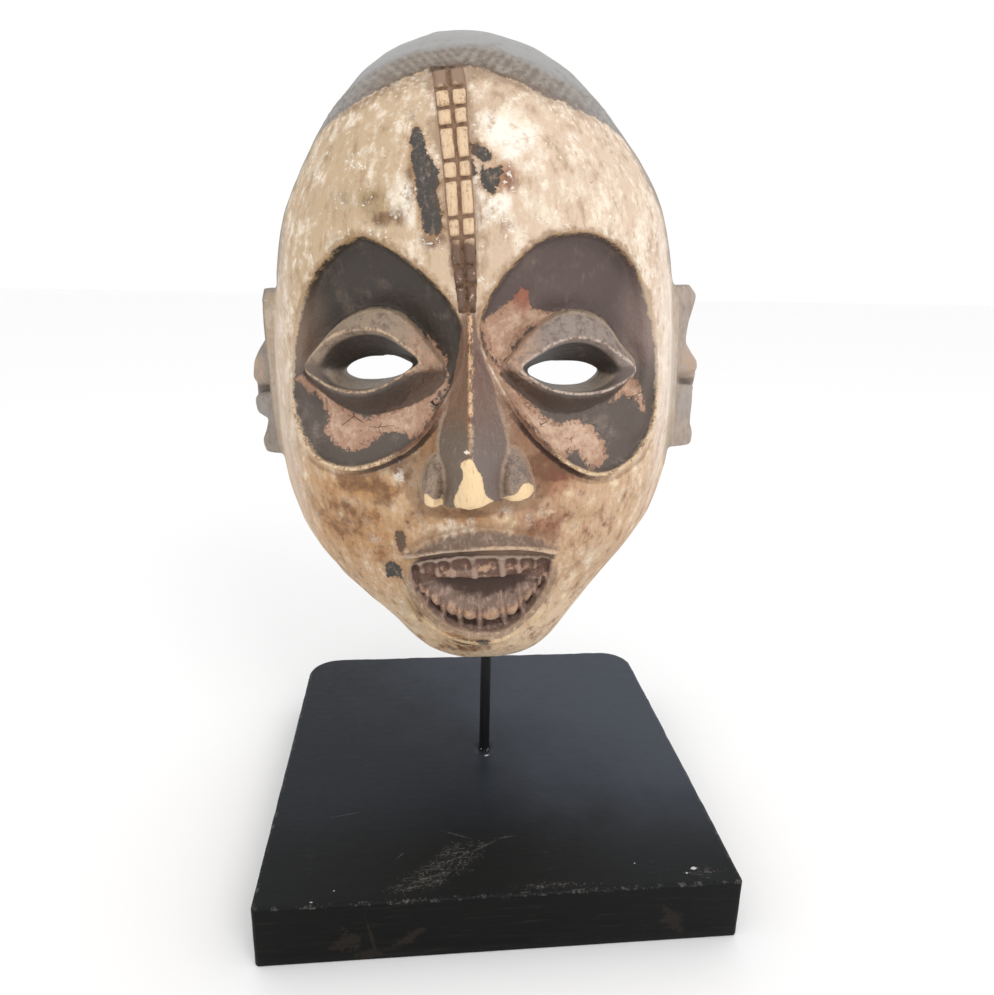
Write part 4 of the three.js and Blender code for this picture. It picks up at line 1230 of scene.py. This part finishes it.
def band(p, colour):
    """The strip of tablets down the forehead: pale bare wood above, darker below."""
    mottle, fine = p.mottle, p.fine
    grain = p.noise(0.9, stretch=(1, 1, 7), seed=41, detail=3)
    high = p.mix((224, 194, 160), (172, 138, 108), p.step(grain + 0.7 * mottle, -0.2, 1.8))
    high = p.mix(high, (136, 110, 92), p.step(mottle + 0.5 * fine, 0.5, 1.6) * 0.8)
    low = p.mix((112, 88, 74), (204, 176, 150), p.step(mottle + fine, 0.6, 1.6))
    face = p.mix(low, high, p.step(p.z + 1.5 * mottle, 204, 209))
    face = p.mix(face, (150, 124, 104), p.step(p.z + 2 * mottle, 262, 265))
    dusty = p.step(p.z, 204, 210) * p.step(mottle + fine, -1.6, 1.2)
    sunk = p.mix((126, 96, 74), (84, 62, 50), p.step(mottle, -0.4, 0.8))
    sunk = p.mix(sunk, (164, 134, 110), dusty * 0.75)
    strip = p.mix(sunk, face, p.step(p.read("tablet") + 0.12 * mottle, 0.3, 0.7))
    return p.mix(colour, strip, p.step(p.read("trench") + 0.15 * mottle, 0.35, 0.65))


def lips(p, colour):
    """The dark upper lip and the worn lower one."""
    mottle, fine, streak = p.mottle, p.fine, p.streak
    lip_mm = p.read("lip_mm")
    upper = p.step(lip_mm + 1.2 * mottle, 1.8, -1.6) * p.step(p.read("crest_mm"), -0.2, 0.8)
    worn_share = p.step(0.6 * streak + 0.8 * mottle + 0.5 * fine, -0.4, 1.5)
    rim = p.step(p.read("pocket_mm") + 0.5 * mottle, 3.8, 2.6) * p.step(p.z, 70, 62)
    rim_tone = p.mix((136, 112, 94), (172, 148, 126), p.step(mottle + 0.6 * fine, -0.6, 1.2))
    bow = p.near(lip_mm - 2.6 + 0.4 * mottle, 1.4, 0.5) * p.step(p.z, 42, 34) * p.step(mottle, -0.9, 0.0)
    return p.layers(
        colour,
        (p.mix((110, 92, 81), (158, 136, 121), worn_share), upper * 0.9),
        (rim_tone, rim * p.step(mottle + streak, -2.0, -0.2) * 0.8),
        ((224, 194, 152), bow * 0.8),
    )


def teeth_and_gums(p):
    """The inside of the mouth: brown, with light tips below and chipped teeth above, painted shade in its
    deepest hollows and a painted shadow under the upper teeth.
    """
    mottle, fine, streak = p.mottle, p.fine, p.streak
    teeth, tip_mm = p.read("teeth_mm"), p.read("tips_mm")
    gap = teeth + TEETH_DROP
    # Painted shadow under the upper row of teeth.
    under = p.step(gap, 0.5, -3) * p.step(gap, -9, -4) * p.step(gap, -4, -1)
    tips = p.step(p.relief + 0.3 * mottle, -3.6, -1.6) * p.step(tip_mm, 8.0, 6.0) * p.step(tip_mm, 0.2, 1.6)
    tips = tips * p.step(0.9 * fine + mottle, -1.0, 0.8) * p.step(p.z, 60, 54)
    row = p.step(teeth, 0.4, -0.4) * p.step(teeth, -12.8, -11.8)
    chipped = p.step(p.noise(4.6, seed=42, detail=2) + 0.3 * fine, -0.1, 0.9) * p.step(p.relief, -1.4, -2.2)
    chipped = chipped * p.step(teeth, -3, -6.5) * p.step(p.x, -24, -12)
    top_line = p.near(teeth + 0.8 + 0.3 * mottle, 1.4, 0.5)
    return p.layers(
        p.mix((130, 107, 95), (172, 146, 130), p.step(streak + 0.7 * mottle, -0.6, 1.3)),
        # Painted shade in the deepest hollows of the mouth.
        ((72, 54, 46), p.step(p.relief + 0.5 * mottle, -4.2, -5.8)),
        ((70, 54, 46), under * 0.8),
        ((216, 172, 136), tips * 0.9),
        ((168, 138, 116), p.step(p.read("broad_relief") + 0.3 * fine, 0.35, 1.0) * 0.5),
        ((100, 74, 63), row * p.step(p.relief + 0.5 * mottle, -1.6, -3.0) * 0.85),
        ((204, 164, 136), row * chipped * 0.8),
        ((172, 148, 134), row * p.step(p.relief, -2.2, -1.4) * 0.7),
        ((178, 156, 140), top_line * p.step(mottle + fine, -1.8, -0.3) * 0.8),
    )


def mouth(p, colour):
    """Lips, teeth, and the groove and ridge along the upper lip, the groove painted dark as shade."""
    mottle, fine = p.mottle, p.fine
    lip_mm, crest = p.read("lip_mm"), p.read("crest_mm")
    rightward = p.step(p.x + 3 * mottle, -4, 10)
    # The groove under the upper lip is painted dark as shade.
    groove = p.near(crest + 3.8 + 0.3 * mottle, 2.4, 1.2) * p.step(lip_mm, -0.5, -2.5)
    groove = groove * p.step(p.read("teeth_mm"), -0.3, 0.5) * p.step(p.x + mottle, -30, -22)
    ridge = p.step(p.absolute(crest + 0.1 + 0.3 * mottle) - 0.5 * rightward, 1.2, 0.4)
    ridge = ridge * p.step(lip_mm, 0.5, -1.0) * p.step(mottle + fine, -1.2, 0.6)
    return p.layers(
        lips(p, colour),
        (teeth_and_gums(p), p.step(p.read("pocket_mm") + 0.3 * mottle, 0.4, -0.4)),
        (p.mix((62, 48, 42), (104, 82, 70), rightward), groove * 0.9),
        (p.mix((186, 164, 148), (212, 182, 154), rightward), ridge * 0.85),
    )


def crown(p, colour):
    """The blue-grey cap, its grey partly a painted sheen of the sky, and the plaited edge along the forehead;
    also gives the cap's share.
    """
    mottle, fine, streak = p.mottle, p.fine, p.streak
    hair_mm = p.read("hair_mm")
    cap = p.step(hair_mm + 1.2 * mottle, 7.5, 13.0)
    # The cap's grey is partly its own colour and partly a painted sheen of the sky, lightest in the middle
    # and duller towards the sides.
    side = p.step(p.sideways, 20, 80)
    grey = p.layers(
        p.mix((153, 152, 151), (136, 137, 138), side),
        ((116, 105, 94), p.step(p.noise(7, seed=51, detail=3) + 0.4 * mottle, 0.2, 1.6) * 0.5),
        ((162, 160, 158), p.step(streak + 0.5 * fine, 0.4, 1.8) * 0.4),
    )
    strands = p.step(p.read("fine_relief") + 0.14 * fine, -0.25, 0.4)
    plait = p.layers(
        p.mix((124, 113, 103), (152, 142, 131), strands),
        ((104, 84, 68), p.step(hair_mm + 1.2 * mottle, 3.6, 0.8) * 0.65),
        ((178, 162, 144), p.step(mottle + 0.6 * fine, 0.5, 1.6) * 0.5),
        (p.mix((142, 142, 142), (174, 173, 172), p.step(streak + mottle, -1.4, 1.4)), side * 0.85),
    )
    return p.layers(colour, (plait, p.step(hair_mm + 0.8 * mottle, -0.6, 0.6)), (grey, cap)), cap


def sides_of_mask(p, colour):
    """The grey-brown strip along the back edge, wider above the ears."""
    in_ears = p.step(p.z, 98, 108) * p.step(p.z, 192, 182)
    upper = (1 - in_ears) * p.step(p.z, 182, 192)
    reach = 24 + upper * (28 - 5 * p.step(p.x, -5, 5)) + 16 * in_ears
    uneven = 5 * p.noise(22, seed=33, detail=2) + 2.5 * p.mottle + 2 * p.fine
    strip = p.step(p.y - reach + uneven, 5, -9) * p.step(p.absolute(p.x), 30, 50)
    strip_tone = p.mix((152, 142, 132), (112, 105, 98), p.step(0.5 * p.mottle + p.streak, -1.6, 1.8))
    return p.mix(colour, strip_tone, strip * 0.9)


def ears(p, colour):
    """The ears' worn grey-brown wood, with painted shade where they meet the face and a painted shadow in the
    notch under each knob.
    """
    mottle, streak = p.mottle, p.streak
    sideways = p.absolute(p.x - 0.5)
    # Painted shade in the strip where each ear meets the face.
    behind = p.step(sideways + 0.5 * mottle, 90, 92.5) * p.step(p.z, 104, 110) * p.step(p.z, 192, 186)
    right = p.step(p.x, -10, 10)
    light = p.mix((156, 144, 133), (174, 159, 148), right)
    dark = p.mix((120, 106, 95), (148, 131, 119), right)
    outer = p.step(p.absolute(p.x), 98, 102)
    knob = p.near(p.z - 150 + mottle, 10, 5) * p.step(p.y + 2 * mottle, 12, 20)
    # Painted shadow in the notch under the knob.
    notch = p.near(p.z - 141.2 - 0.25 * (p.y - 28) + 0.4 * mottle, 2.8, 1.0) * p.step(p.y, 18, 27)
    below = p.near(p.z - 131 + 1.5 * mottle, 10, 2) * p.step(p.y, 12, 24)
    wood = p.layers(
        p.mix(light, dark, p.step(0.6 * mottle + 0.6 * streak, -1.0, 1.6)),
        ((190, 162, 140), knob * outer * p.step(mottle + 0.5 * streak, -1.2, 0.8) * 0.75),
        ((84, 74, 68), notch * outer * 0.8),
        ((158, 154, 151), below * outer * 0.5),
    )
    on_ear = p.step(sideways, 95.4, 96.6) * p.step(p.y, 44, 42)
    return p.layers(colour, ((172, 157, 141), behind * 0.65), (wood, on_ear))


def eye_openings(p, colour):
    """The rubbed edges of the eye slits, and the walls that lead through the wood, painted as shade above and
    as lit below.
    """
    mottle, fine = p.mottle, p.fine
    lens_mm, below_face = p.read("lens_mm"), p.read("below_face")
    edge = p.near(lens_mm - 0.4 + 0.35 * p.ragged, 0.9, 0.2) * p.step(below_face, 3, 1)
    edge = edge * p.step(p.read("socket_mm"), 0, -3)
    edge_light = p.mix((204, 174, 142), (206, 186, 172), p.step(p.x, 0, 6))
    # The walls of the openings: painted shade on the upper ones, painted light on the lower ones.
    lower = p.step(p.z - 155.5 + 0.035 * p.x + 0.8 * mottle, 0.5, -2.5)
    wall = p.mix((58, 50, 44), (150, 134, 118), lower)
    wall = p.mix(wall, (96, 76, 60), p.step(mottle, 0.1, 1.2) * 0.5)
    return p.layers(
        colour,
        (p.mix(edge_light, (134, 112, 98), p.step(mottle + fine, -0.6, 0.9)), edge * 0.85),
        (wall, p.step(below_face, 2.0, 4.5) * p.step(lens_mm, 1.0, -0.2)),
    )


def bare_hollow(p, colour):
    """The unpainted wood of the hollow and the flat rim."""
    hollow = p.step(p.read("hollow"), 0.4, 0.6) * p.step(p.read("below_face"), 6, 9)
    tint = p.step(p.noise(14, seed=31, detail=2) + 0.8 * p.streak + 0.4 * p.fine, -2.2, 2.2)
    grain = p.step(p.noise(1.1, stretch=(1, 1, 12), seed=32, detail=3), 0.2, 1.4)
    wood = p.mix(p.mix((96, 74, 56), (130, 103, 78), tint), (58, 44, 34), grain * 0.6)
    return p.mix(colour, wood, p.most(hollow, p.step(p.y, 1.2, 0.4)))


def carved_wood():
    """The mask's whole surface, from the whitened face to the bare hollow behind."""
    p = FacePaint()
    mottle, fine = p.mottle, p.fine
    coat, daub = kaolin(p)
    coat, flake, chip = flakes_and_chips(p, coat, daub)
    # Near-white sides of the face, whitest on the right: a painted glare from the bright background along the
    # edges.
    far = p.mix((216, 200, 186), (240, 230, 222), p.step(p.x, 0, 20))
    edge_glare_share = p.step(p.sideways + 4 * mottle, 72, 92) * p.step(p.y + 3 * mottle, 38, 52)
    dirt = p.step(p.read("broad_relief") + 0.12 * mottle, -0.12, -0.5)
    dirt = dirt * p.step(p.read("socket_mm"), 1, 5) * p.step(p.read("lip_mm"), 0, 2)
    colour = p.layers(coat, (far, edge_glare_share * 0.55), ((118, 88, 64), dirt * 0.5))
    colour, inside = rims(p, colour)
    colour, on_nose, wood = nose(p, colour)
    colour = mouth(p, band(p, colour))
    colour, cap = crown(p, colour)
    colour = ears(p, sides_of_mask(p, colour))
    colour = bare_hollow(p, eye_openings(p, colour))
    rough = 0.64 - 0.14 * p.step(inside + on_nose, 0.5, 1.0) - 0.22 * cap + 0.12 * wood
    worn = inside * p.step(p.read("patch_mm") + 1.4 * mottle, 0.5, -0.6)
    height = 0.13 * mottle + 0.08 * fine + 0.05 * p.streak - 0.35 * chip + 0.15 * flake
    height = height - 0.25 * worn - 0.2 * wood
    return p.finish(colour, rough, 0.32, p.bump(height, 0.9))


# The board: a square with softer back corners and a slightly worn edge
BASE_BACK_CORNER = 18.0
BASE_FRONT_CORNER = 2.0
EDGE_POINTS = 64
CORNER_POINTS = 10
SHARPEST = 0.3


def board_outline(half, inset):
    """Points around the board, from the middle of its front edge, moved inwards by inset."""
    points = []
    edge = half - inset
    ends = []
    for k, (sx, sy) in enumerate(((1, -1), (1, 1), (-1, 1), (-1, -1))):
        r = max((BASE_BACK_CORNER if sy > 0 else BASE_FRONT_CORNER) - inset, SHARPEST)
        middle = np.array([sx * (edge - r), sy * (edge - r)])
        angles = np.radians(-90 + 90 * k + np.linspace(0, 90, CORNER_POINTS))
        ends.append(middle + r * np.stack([np.cos(angles), np.sin(angles)], 1))
    for k, arc in enumerate(ends):
        start = ends[k - 1][-1]
        t = np.linspace(0, 1, EDGE_POINTS + 1)[1:-1, None]
        points.append(start + (arc[0] - start) * t)
        points.append(arc)
    return np.concatenate(points)


def ring_mesh(name, rings):
    """A closed mesh through rings of equal length in mm, with a point at the middle of the first and last."""
    count = len(rings[0])
    points = np.concatenate([rings[0].mean(0)[None], *rings, rings[-1].mean(0)[None]])
    around = [(i, (i + 1) % count) for i in range(count)]
    starts = [1 + k * count for k in range(len(rings))]
    pairs = zip(starts, starts[1:])
    faces = [(low + i, low + j, high + j, high + i) for low, high in pairs for i, j in around]
    faces += [(0, 1 + j, 1 + i) for i, j in around]
    faces += [(len(points) - 1, starts[-1] + i, starts[-1] + j) for i, j in around]
    mesh = bpy.data.meshes.new(name)
    mesh.from_pydata((points * MM).tolist(), [], faces)
    mesh.polygons.foreach_set("use_smooth", np.ones(len(mesh.polygons), bool))
    mesh.update()
    obj = bpy.data.objects.new(name, mesh)
    bpy.context.scene.collection.objects.link(obj)
    return obj


def wobble(values, size, seed):
    """Soft unevenness along a line, from -1 to 1."""
    rng = np.random.default_rng(seed)
    knots = rng.uniform(-1, 1, int(np.ptp(values) / size) + 3)
    return np.interp(values, values.min() + size * np.arange(len(knots)), knots)


# How far inside the board's outline its top face starts, and the rings from there to the rod's hole
TOP_INSET = 2.0
TOP_RINGS = (0, 0.15, 0.35, 0.6, 0.85, 0.97)


def build_base():
    """The board with its worn upper edge and the rod's hole."""
    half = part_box("base")[1].x / MM
    outline, outer = board_outline(half, 0), board_outline(half, TOP_INSET)
    along = np.cumsum(np.hypot(*(outline - np.roll(outline, 1, 0)).T))
    worn = 0.75 + 0.35 * wobble(along, 9, 1) + 0.25 * wobble(along, 3, 2)
    worn = np.maximum(worn, SHARPEST)[:, None]

    def ring(inset, level):
        inset = np.broadcast_to(inset, worn.shape)
        flat = outline + (outer - outline) * inset / TOP_INSET
        return np.column_stack([flat, np.broadcast_to(level, worn.shape)])

    rings = [ring(1.2, 0), ring(0.35, 0.25), ring(0, 0.9)]
    rings += [ring(0.05 * math.sin(k * 1.7), 0.9 + k * (BASE_TOP - 2.6) / 6) for k in range(1, 6)]
    rings += [ring(0, BASE_TOP - 1.7), ring(0, BASE_TOP - worn), ring(0.3 * worn, BASE_TOP - 0.3 * worn),
              ring(worn, BASE_TOP)]
    angle = np.arctan2(outer[:, 1], outer[:, 0])
    hole = (ROD_RADIUS + ROD_GAP) * np.stack([np.cos(angle), np.sin(angle)], 1)
    for t in TOP_RINGS:
        rings.append(np.column_stack([outer + (hole * 1.12 - outer) * t, np.full(len(outer), BASE_TOP)]))
    rings.append(np.column_stack([hole * 1.08, np.full(len(hole), BASE_TOP)]))
    for depth in (0.2, 1, 9, HOLE_IN_BASE):
        rings.append(np.column_stack([hole, np.full(len(hole), BASE_TOP - depth)]))
    return ring_mesh("base_piece", rings)


ROD_SIDES = 48
ROD_LEVELS = 60


def build_rod():
    """The thin rod, drawn a little unevenly."""
    low, high = rod_low.z / MM, rod_high.z / MM
    angle = np.linspace(0, 2 * math.pi, ROD_SIDES, endpoint=False)
    rings = []
    profile = [(low, 0.8), (low + 0.5, 1)]
    profile += [(level, 1) for level in np.linspace(low + 2, high - 2, ROD_LEVELS)]
    profile += [(high - 0.5, 1), (high, 0.8)]
    for level, share in profile:
        radius = ROD_RADIUS * share * (1 - 0.012 * (1 + np.sin(3 * angle + 0.21 * level)) / 2)
        x, y = radius * np.cos(angle), radius * np.sin(angle)
        rings.append(np.column_stack([x, y, np.full(len(angle), level)]))
    return ring_mesh("rod_piece", rings)


# Marks on the board in mm: across, towards the back (or up, on the front), half length, half width, turn
TOP_SCRATCHES = [
    (-22, -83, 10, 0.5, 25), (-6, -75, 11, 0.4, 28), (-18, -67, 10, 0.4, -26), (-30, -92, 8, 0.6, 20),
    (-36, -97, 9, 0.8, 12), (-44, -78, 3, 0.5, 50), (-70, -49, 12, 0.25, 12), (4, -70, 4, 0.6, 10),
]
TOP_CHIPS = [
    (85.5, -95.7, 1.8, 1.0, 10), (81.6, -98.3, 0.6, 0.6, 0), (60, -90.9, 0.4, 0.4, 0),
    (0.8, -6.7, 1.6, 0.8, 20), (-71.8, -97, 0.4, 0.4, 0), (-80.6, -102.6, 0.8, 0.4, 0),
]
TOP_SCUFFS = [
    (-31, -92, 17, 7, 15), (-18, -80, 16, 9, 25), (20, -101, 22, 2.4, 0), (-43, -98, 8, 4, 0),
    (90, -98, 10, 4, 0),
]
FRONT_WEAR = [
    (-66, 11, 7, 5, 20), (-57.5, 3, 6, 3, 0), (-40, 11, 10, 2.5, 30), (-56, 12, 11, 0.7, -78),
    (74, 12, 4, 9, 30),
]


def marks(p, rows, across, along, ragged):
    """Where any of the turned ellipses lies, with ragged edges."""
    shares = []
    for x, y, long, wide, turn in rows:
        c, s = math.cos(math.radians(turn)), math.sin(math.radians(turn))
        u = p.absolute((across - x) * (c / long) + (along - y) * (s / long))
        v = p.absolute((across - x) * (-s / wide) + (along - y) * (c / wide))
        shares.append(p.step(u + v + ragged, 1.25, 0.75))
    return p.most(*shares)


def painted_board():
    """Black satin paint on wood, dusty and scuffed near the front edge, with painted reflections on its top.
    """
    p = Paint("black_painted_wood")
    x, y, z = p.x, p.y, p.z
    cloud = p.noise(40, seed=61)
    mottle = p.noise(5, seed=62, detail=5, rough=0.65)
    fine = p.noise(1.0, seed=63, detail=3)
    grain = p.noise(1.6, stretch=(14, 1, 1), seed=64, detail=3)
    ragged = 0.45 * mottle + 0.35 * fine
    top = p.step(z, BASE_TOP - 1.2, BASE_TOP - 0.4)
    below = 1 - top
    front = p.mix((6, 7, 6), (12, 13, 13), p.step(x, 0, 70))
    # The top is painted as a reflection: darker towards the front where the mask is mirrored, grey-blue
    # towards the back, and a paler patch of sky towards the back right.
    level = p.mix((22, 24, 25), (31, 35, 41), p.step(y + 6 * cloud, -80, -30))
    sky_reflection = p.step(0.8 * x + 0.5 * y + 12 * cloud, -45, 75) * p.step(y + 6 * cloud, -105, -10)
    dust = p.step(p.noise(0.8, seed=66, detail=2) + 0.8 * mottle, 0.1, 1.3)
    scuff = marks(p, TOP_SCUFFS, x, y, 1.1 * ragged) * top * dust
    scratch = marks(p, TOP_SCRATCHES, x, y, 1.2 * ragged) * top
    hair = p.near(p.noise(7, stretch=(3, 0.6, 1), seed=65, detail=2), 0.10, 0.02) * top
    hair = hair * marks(p, TOP_SCUFFS[:2], x, y, 0.6 * ragged)
    chips = marks(p, TOP_CHIPS, x, y, 0.6 * ragged) * top
    wear = marks(p, FRONT_WEAR, x, z, 1.2 * ragged) * p.step(y, -103, -104) * below
    from_edge = p.math("MINIMUM", 103.9 - p.absolute(x), y + 104.2)
    line = p.step(from_edge + 0.35 * mottle, 1.3, 0.2) * p.step(z, BASE_TOP - 1.6, BASE_TOP - 0.9)
    colour = p.layers(
        p.mix(front, level, top),
        ((67, 72, 82), top * sky_reflection * 0.8),
        ((40, 38, 36), below * p.step(grain + 0.4 * mottle, 0.2, 1.8) * 0.5),
        ((60, 63, 67), top * p.step(0.3 * grain + mottle + 0.5 * cloud, 0.8, 2.0) * 0.3),
        ((104, 100, 95), scuff * 0.6),
        ((110, 106, 100), p.most(0.4 * scratch, 0.6 * hair) * 0.5),
        ((196, 194, 190), chips),
        ((60, 50, 41), wear * 0.27),
        ((104, 100, 96), line * p.step(mottle + 0.7 * fine, 0.0, 1.3) * 0.6),
    )
    rough = 0.42 + 0.12 * scuff + 0.05 * mottle + 0.08 * below
    height = 0.012 * grain + 0.03 * mottle - 0.12 * chips - 0.06 * scratch
    return p.finish(colour, rough, 0.12, p.bump(height, 0.8))


def black_steel():
    """Blackened steel with faint rubbed streaks and a fleck of light paint at its foot."""
    p = Paint("black_metal")
    streak = p.noise(3, stretch=(1, 1, 6), seed=71)
    foot = p.step(p.z, BASE_TOP + 2.2, BASE_TOP + 0.6) * p.step(p.noise(1.2, seed=72), 0.2, 0.6)
    colour = p.layers(
        (26, 27, 29),
        ((70, 70, 70), p.step(streak, 0.5, 1.8) * 0.5),
        ((190, 188, 184), foot * p.step(p.y, -1, -2)),
    )
    p.shader.inputs["Metallic"].default_value = 0.4
    return p.finish(colour, 0.38 + 0.05 * streak, 0.5)


# Camera, light and floor
PHOTO_WIDTH, PHOTO_HEIGHT = 994, 995
FOCAL_PIXELS = 787.0
SENSOR = 36.0
CAMERA_PLACE = Vector((-35.2, -372.4, 287.2)) * MM
CAMERA_YAW, CAMERA_PITCH, CAMERA_ROLL = math.radians(6.01), math.radians(16.84), math.radians(-1.29)


def make_camera():
    """The camera that took the photo, as worked out from the board's edges."""
    data = bpy.data.cameras.new("camera")
    camera = bpy.data.objects.new("camera", data)
    bpy.context.scene.collection.objects.link(camera)
    data.sensor_width = SENSOR
    data.lens = SENSOR * FOCAL_PIXELS / max(PHOTO_WIDTH, PHOTO_HEIGHT)
    data.clip_start = 0.01
    ahead = Vector((
        math.sin(CAMERA_YAW) * math.cos(CAMERA_PITCH), math.cos(CAMERA_YAW) * math.cos(CAMERA_PITCH),
        -math.sin(CAMERA_PITCH),
    ))
    level = Vector((math.cos(CAMERA_YAW), -math.sin(CAMERA_YAW), 0))
    down = ahead.cross(level)
    right = math.cos(CAMERA_ROLL) * level + math.sin(CAMERA_ROLL) * down
    below = math.cos(CAMERA_ROLL) * down - math.sin(CAMERA_ROLL) * level
    turn = Matrix((right, -below, -ahead)).transposed()
    camera.matrix_world = Matrix.Translation(CAMERA_PLACE) @ turn.to_4x4()
    bpy.context.scene.camera = camera


def make_light(name, place, target, size, power):
    """A round lamp that faces its target."""
    data = bpy.data.lights.new(name, "AREA")
    data.shape = "DISK"
    data.size = size
    data.energy = power
    light = bpy.data.objects.new(name, data)
    light.location = place
    light.rotation_euler = (Vector(target) - Vector(place)).to_track_quat("-Z", "Y").to_euler()
    bpy.context.scene.collection.objects.link(light)


FLOOR_HALF = 6.0
FLOOR_WHITE = 0.97


def make_stage():
    """A pale floor under an even white sky."""
    bpy.context.scene.view_settings.view_transform = "Standard"
    corners = [(x * FLOOR_HALF, y * FLOOR_HALF, 0) for x, y in ((-1, -1), (1, -1), (1, 1), (-1, 1))]
    floor = mesh_object("floor", corners, np.array([[0, 1, 2, 3]]), smooth=False)
    material = bpy.data.materials.new("pale_floor")
    material.use_nodes = True
    shader = material.node_tree.nodes["Principled BSDF"]
    shader.inputs["Base Color"].default_value = (FLOOR_WHITE, FLOOR_WHITE, FLOOR_WHITE, 1)
    shader.inputs["Roughness"].default_value = 0.9
    floor.data.materials.append(material)
    world = bpy.context.scene.world or bpy.data.worlds.new("world")
    bpy.context.scene.world = world
    world.use_nodes = True
    background = world.node_tree.nodes["Background"]
    background.inputs["Color"].default_value = (1, 1, 1, 1)
    background.inputs["Strength"].default_value = 1.0


make_camera()
make_stage()
make_light("key", (0.6, -1.3, 1.3), (0, 0, 0.2), 0.8, 7)

mask = build_mask()
add_attributes(mask)
mask.data.materials.append(carved_wood())
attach(mask, "root")
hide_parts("mask")

base = build_base()
base.data.materials.append(painted_board())
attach(base, "root")
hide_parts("base")

rod = build_rod()
rod.data.materials.append(black_steel())
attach(rod, "root")
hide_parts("rod")
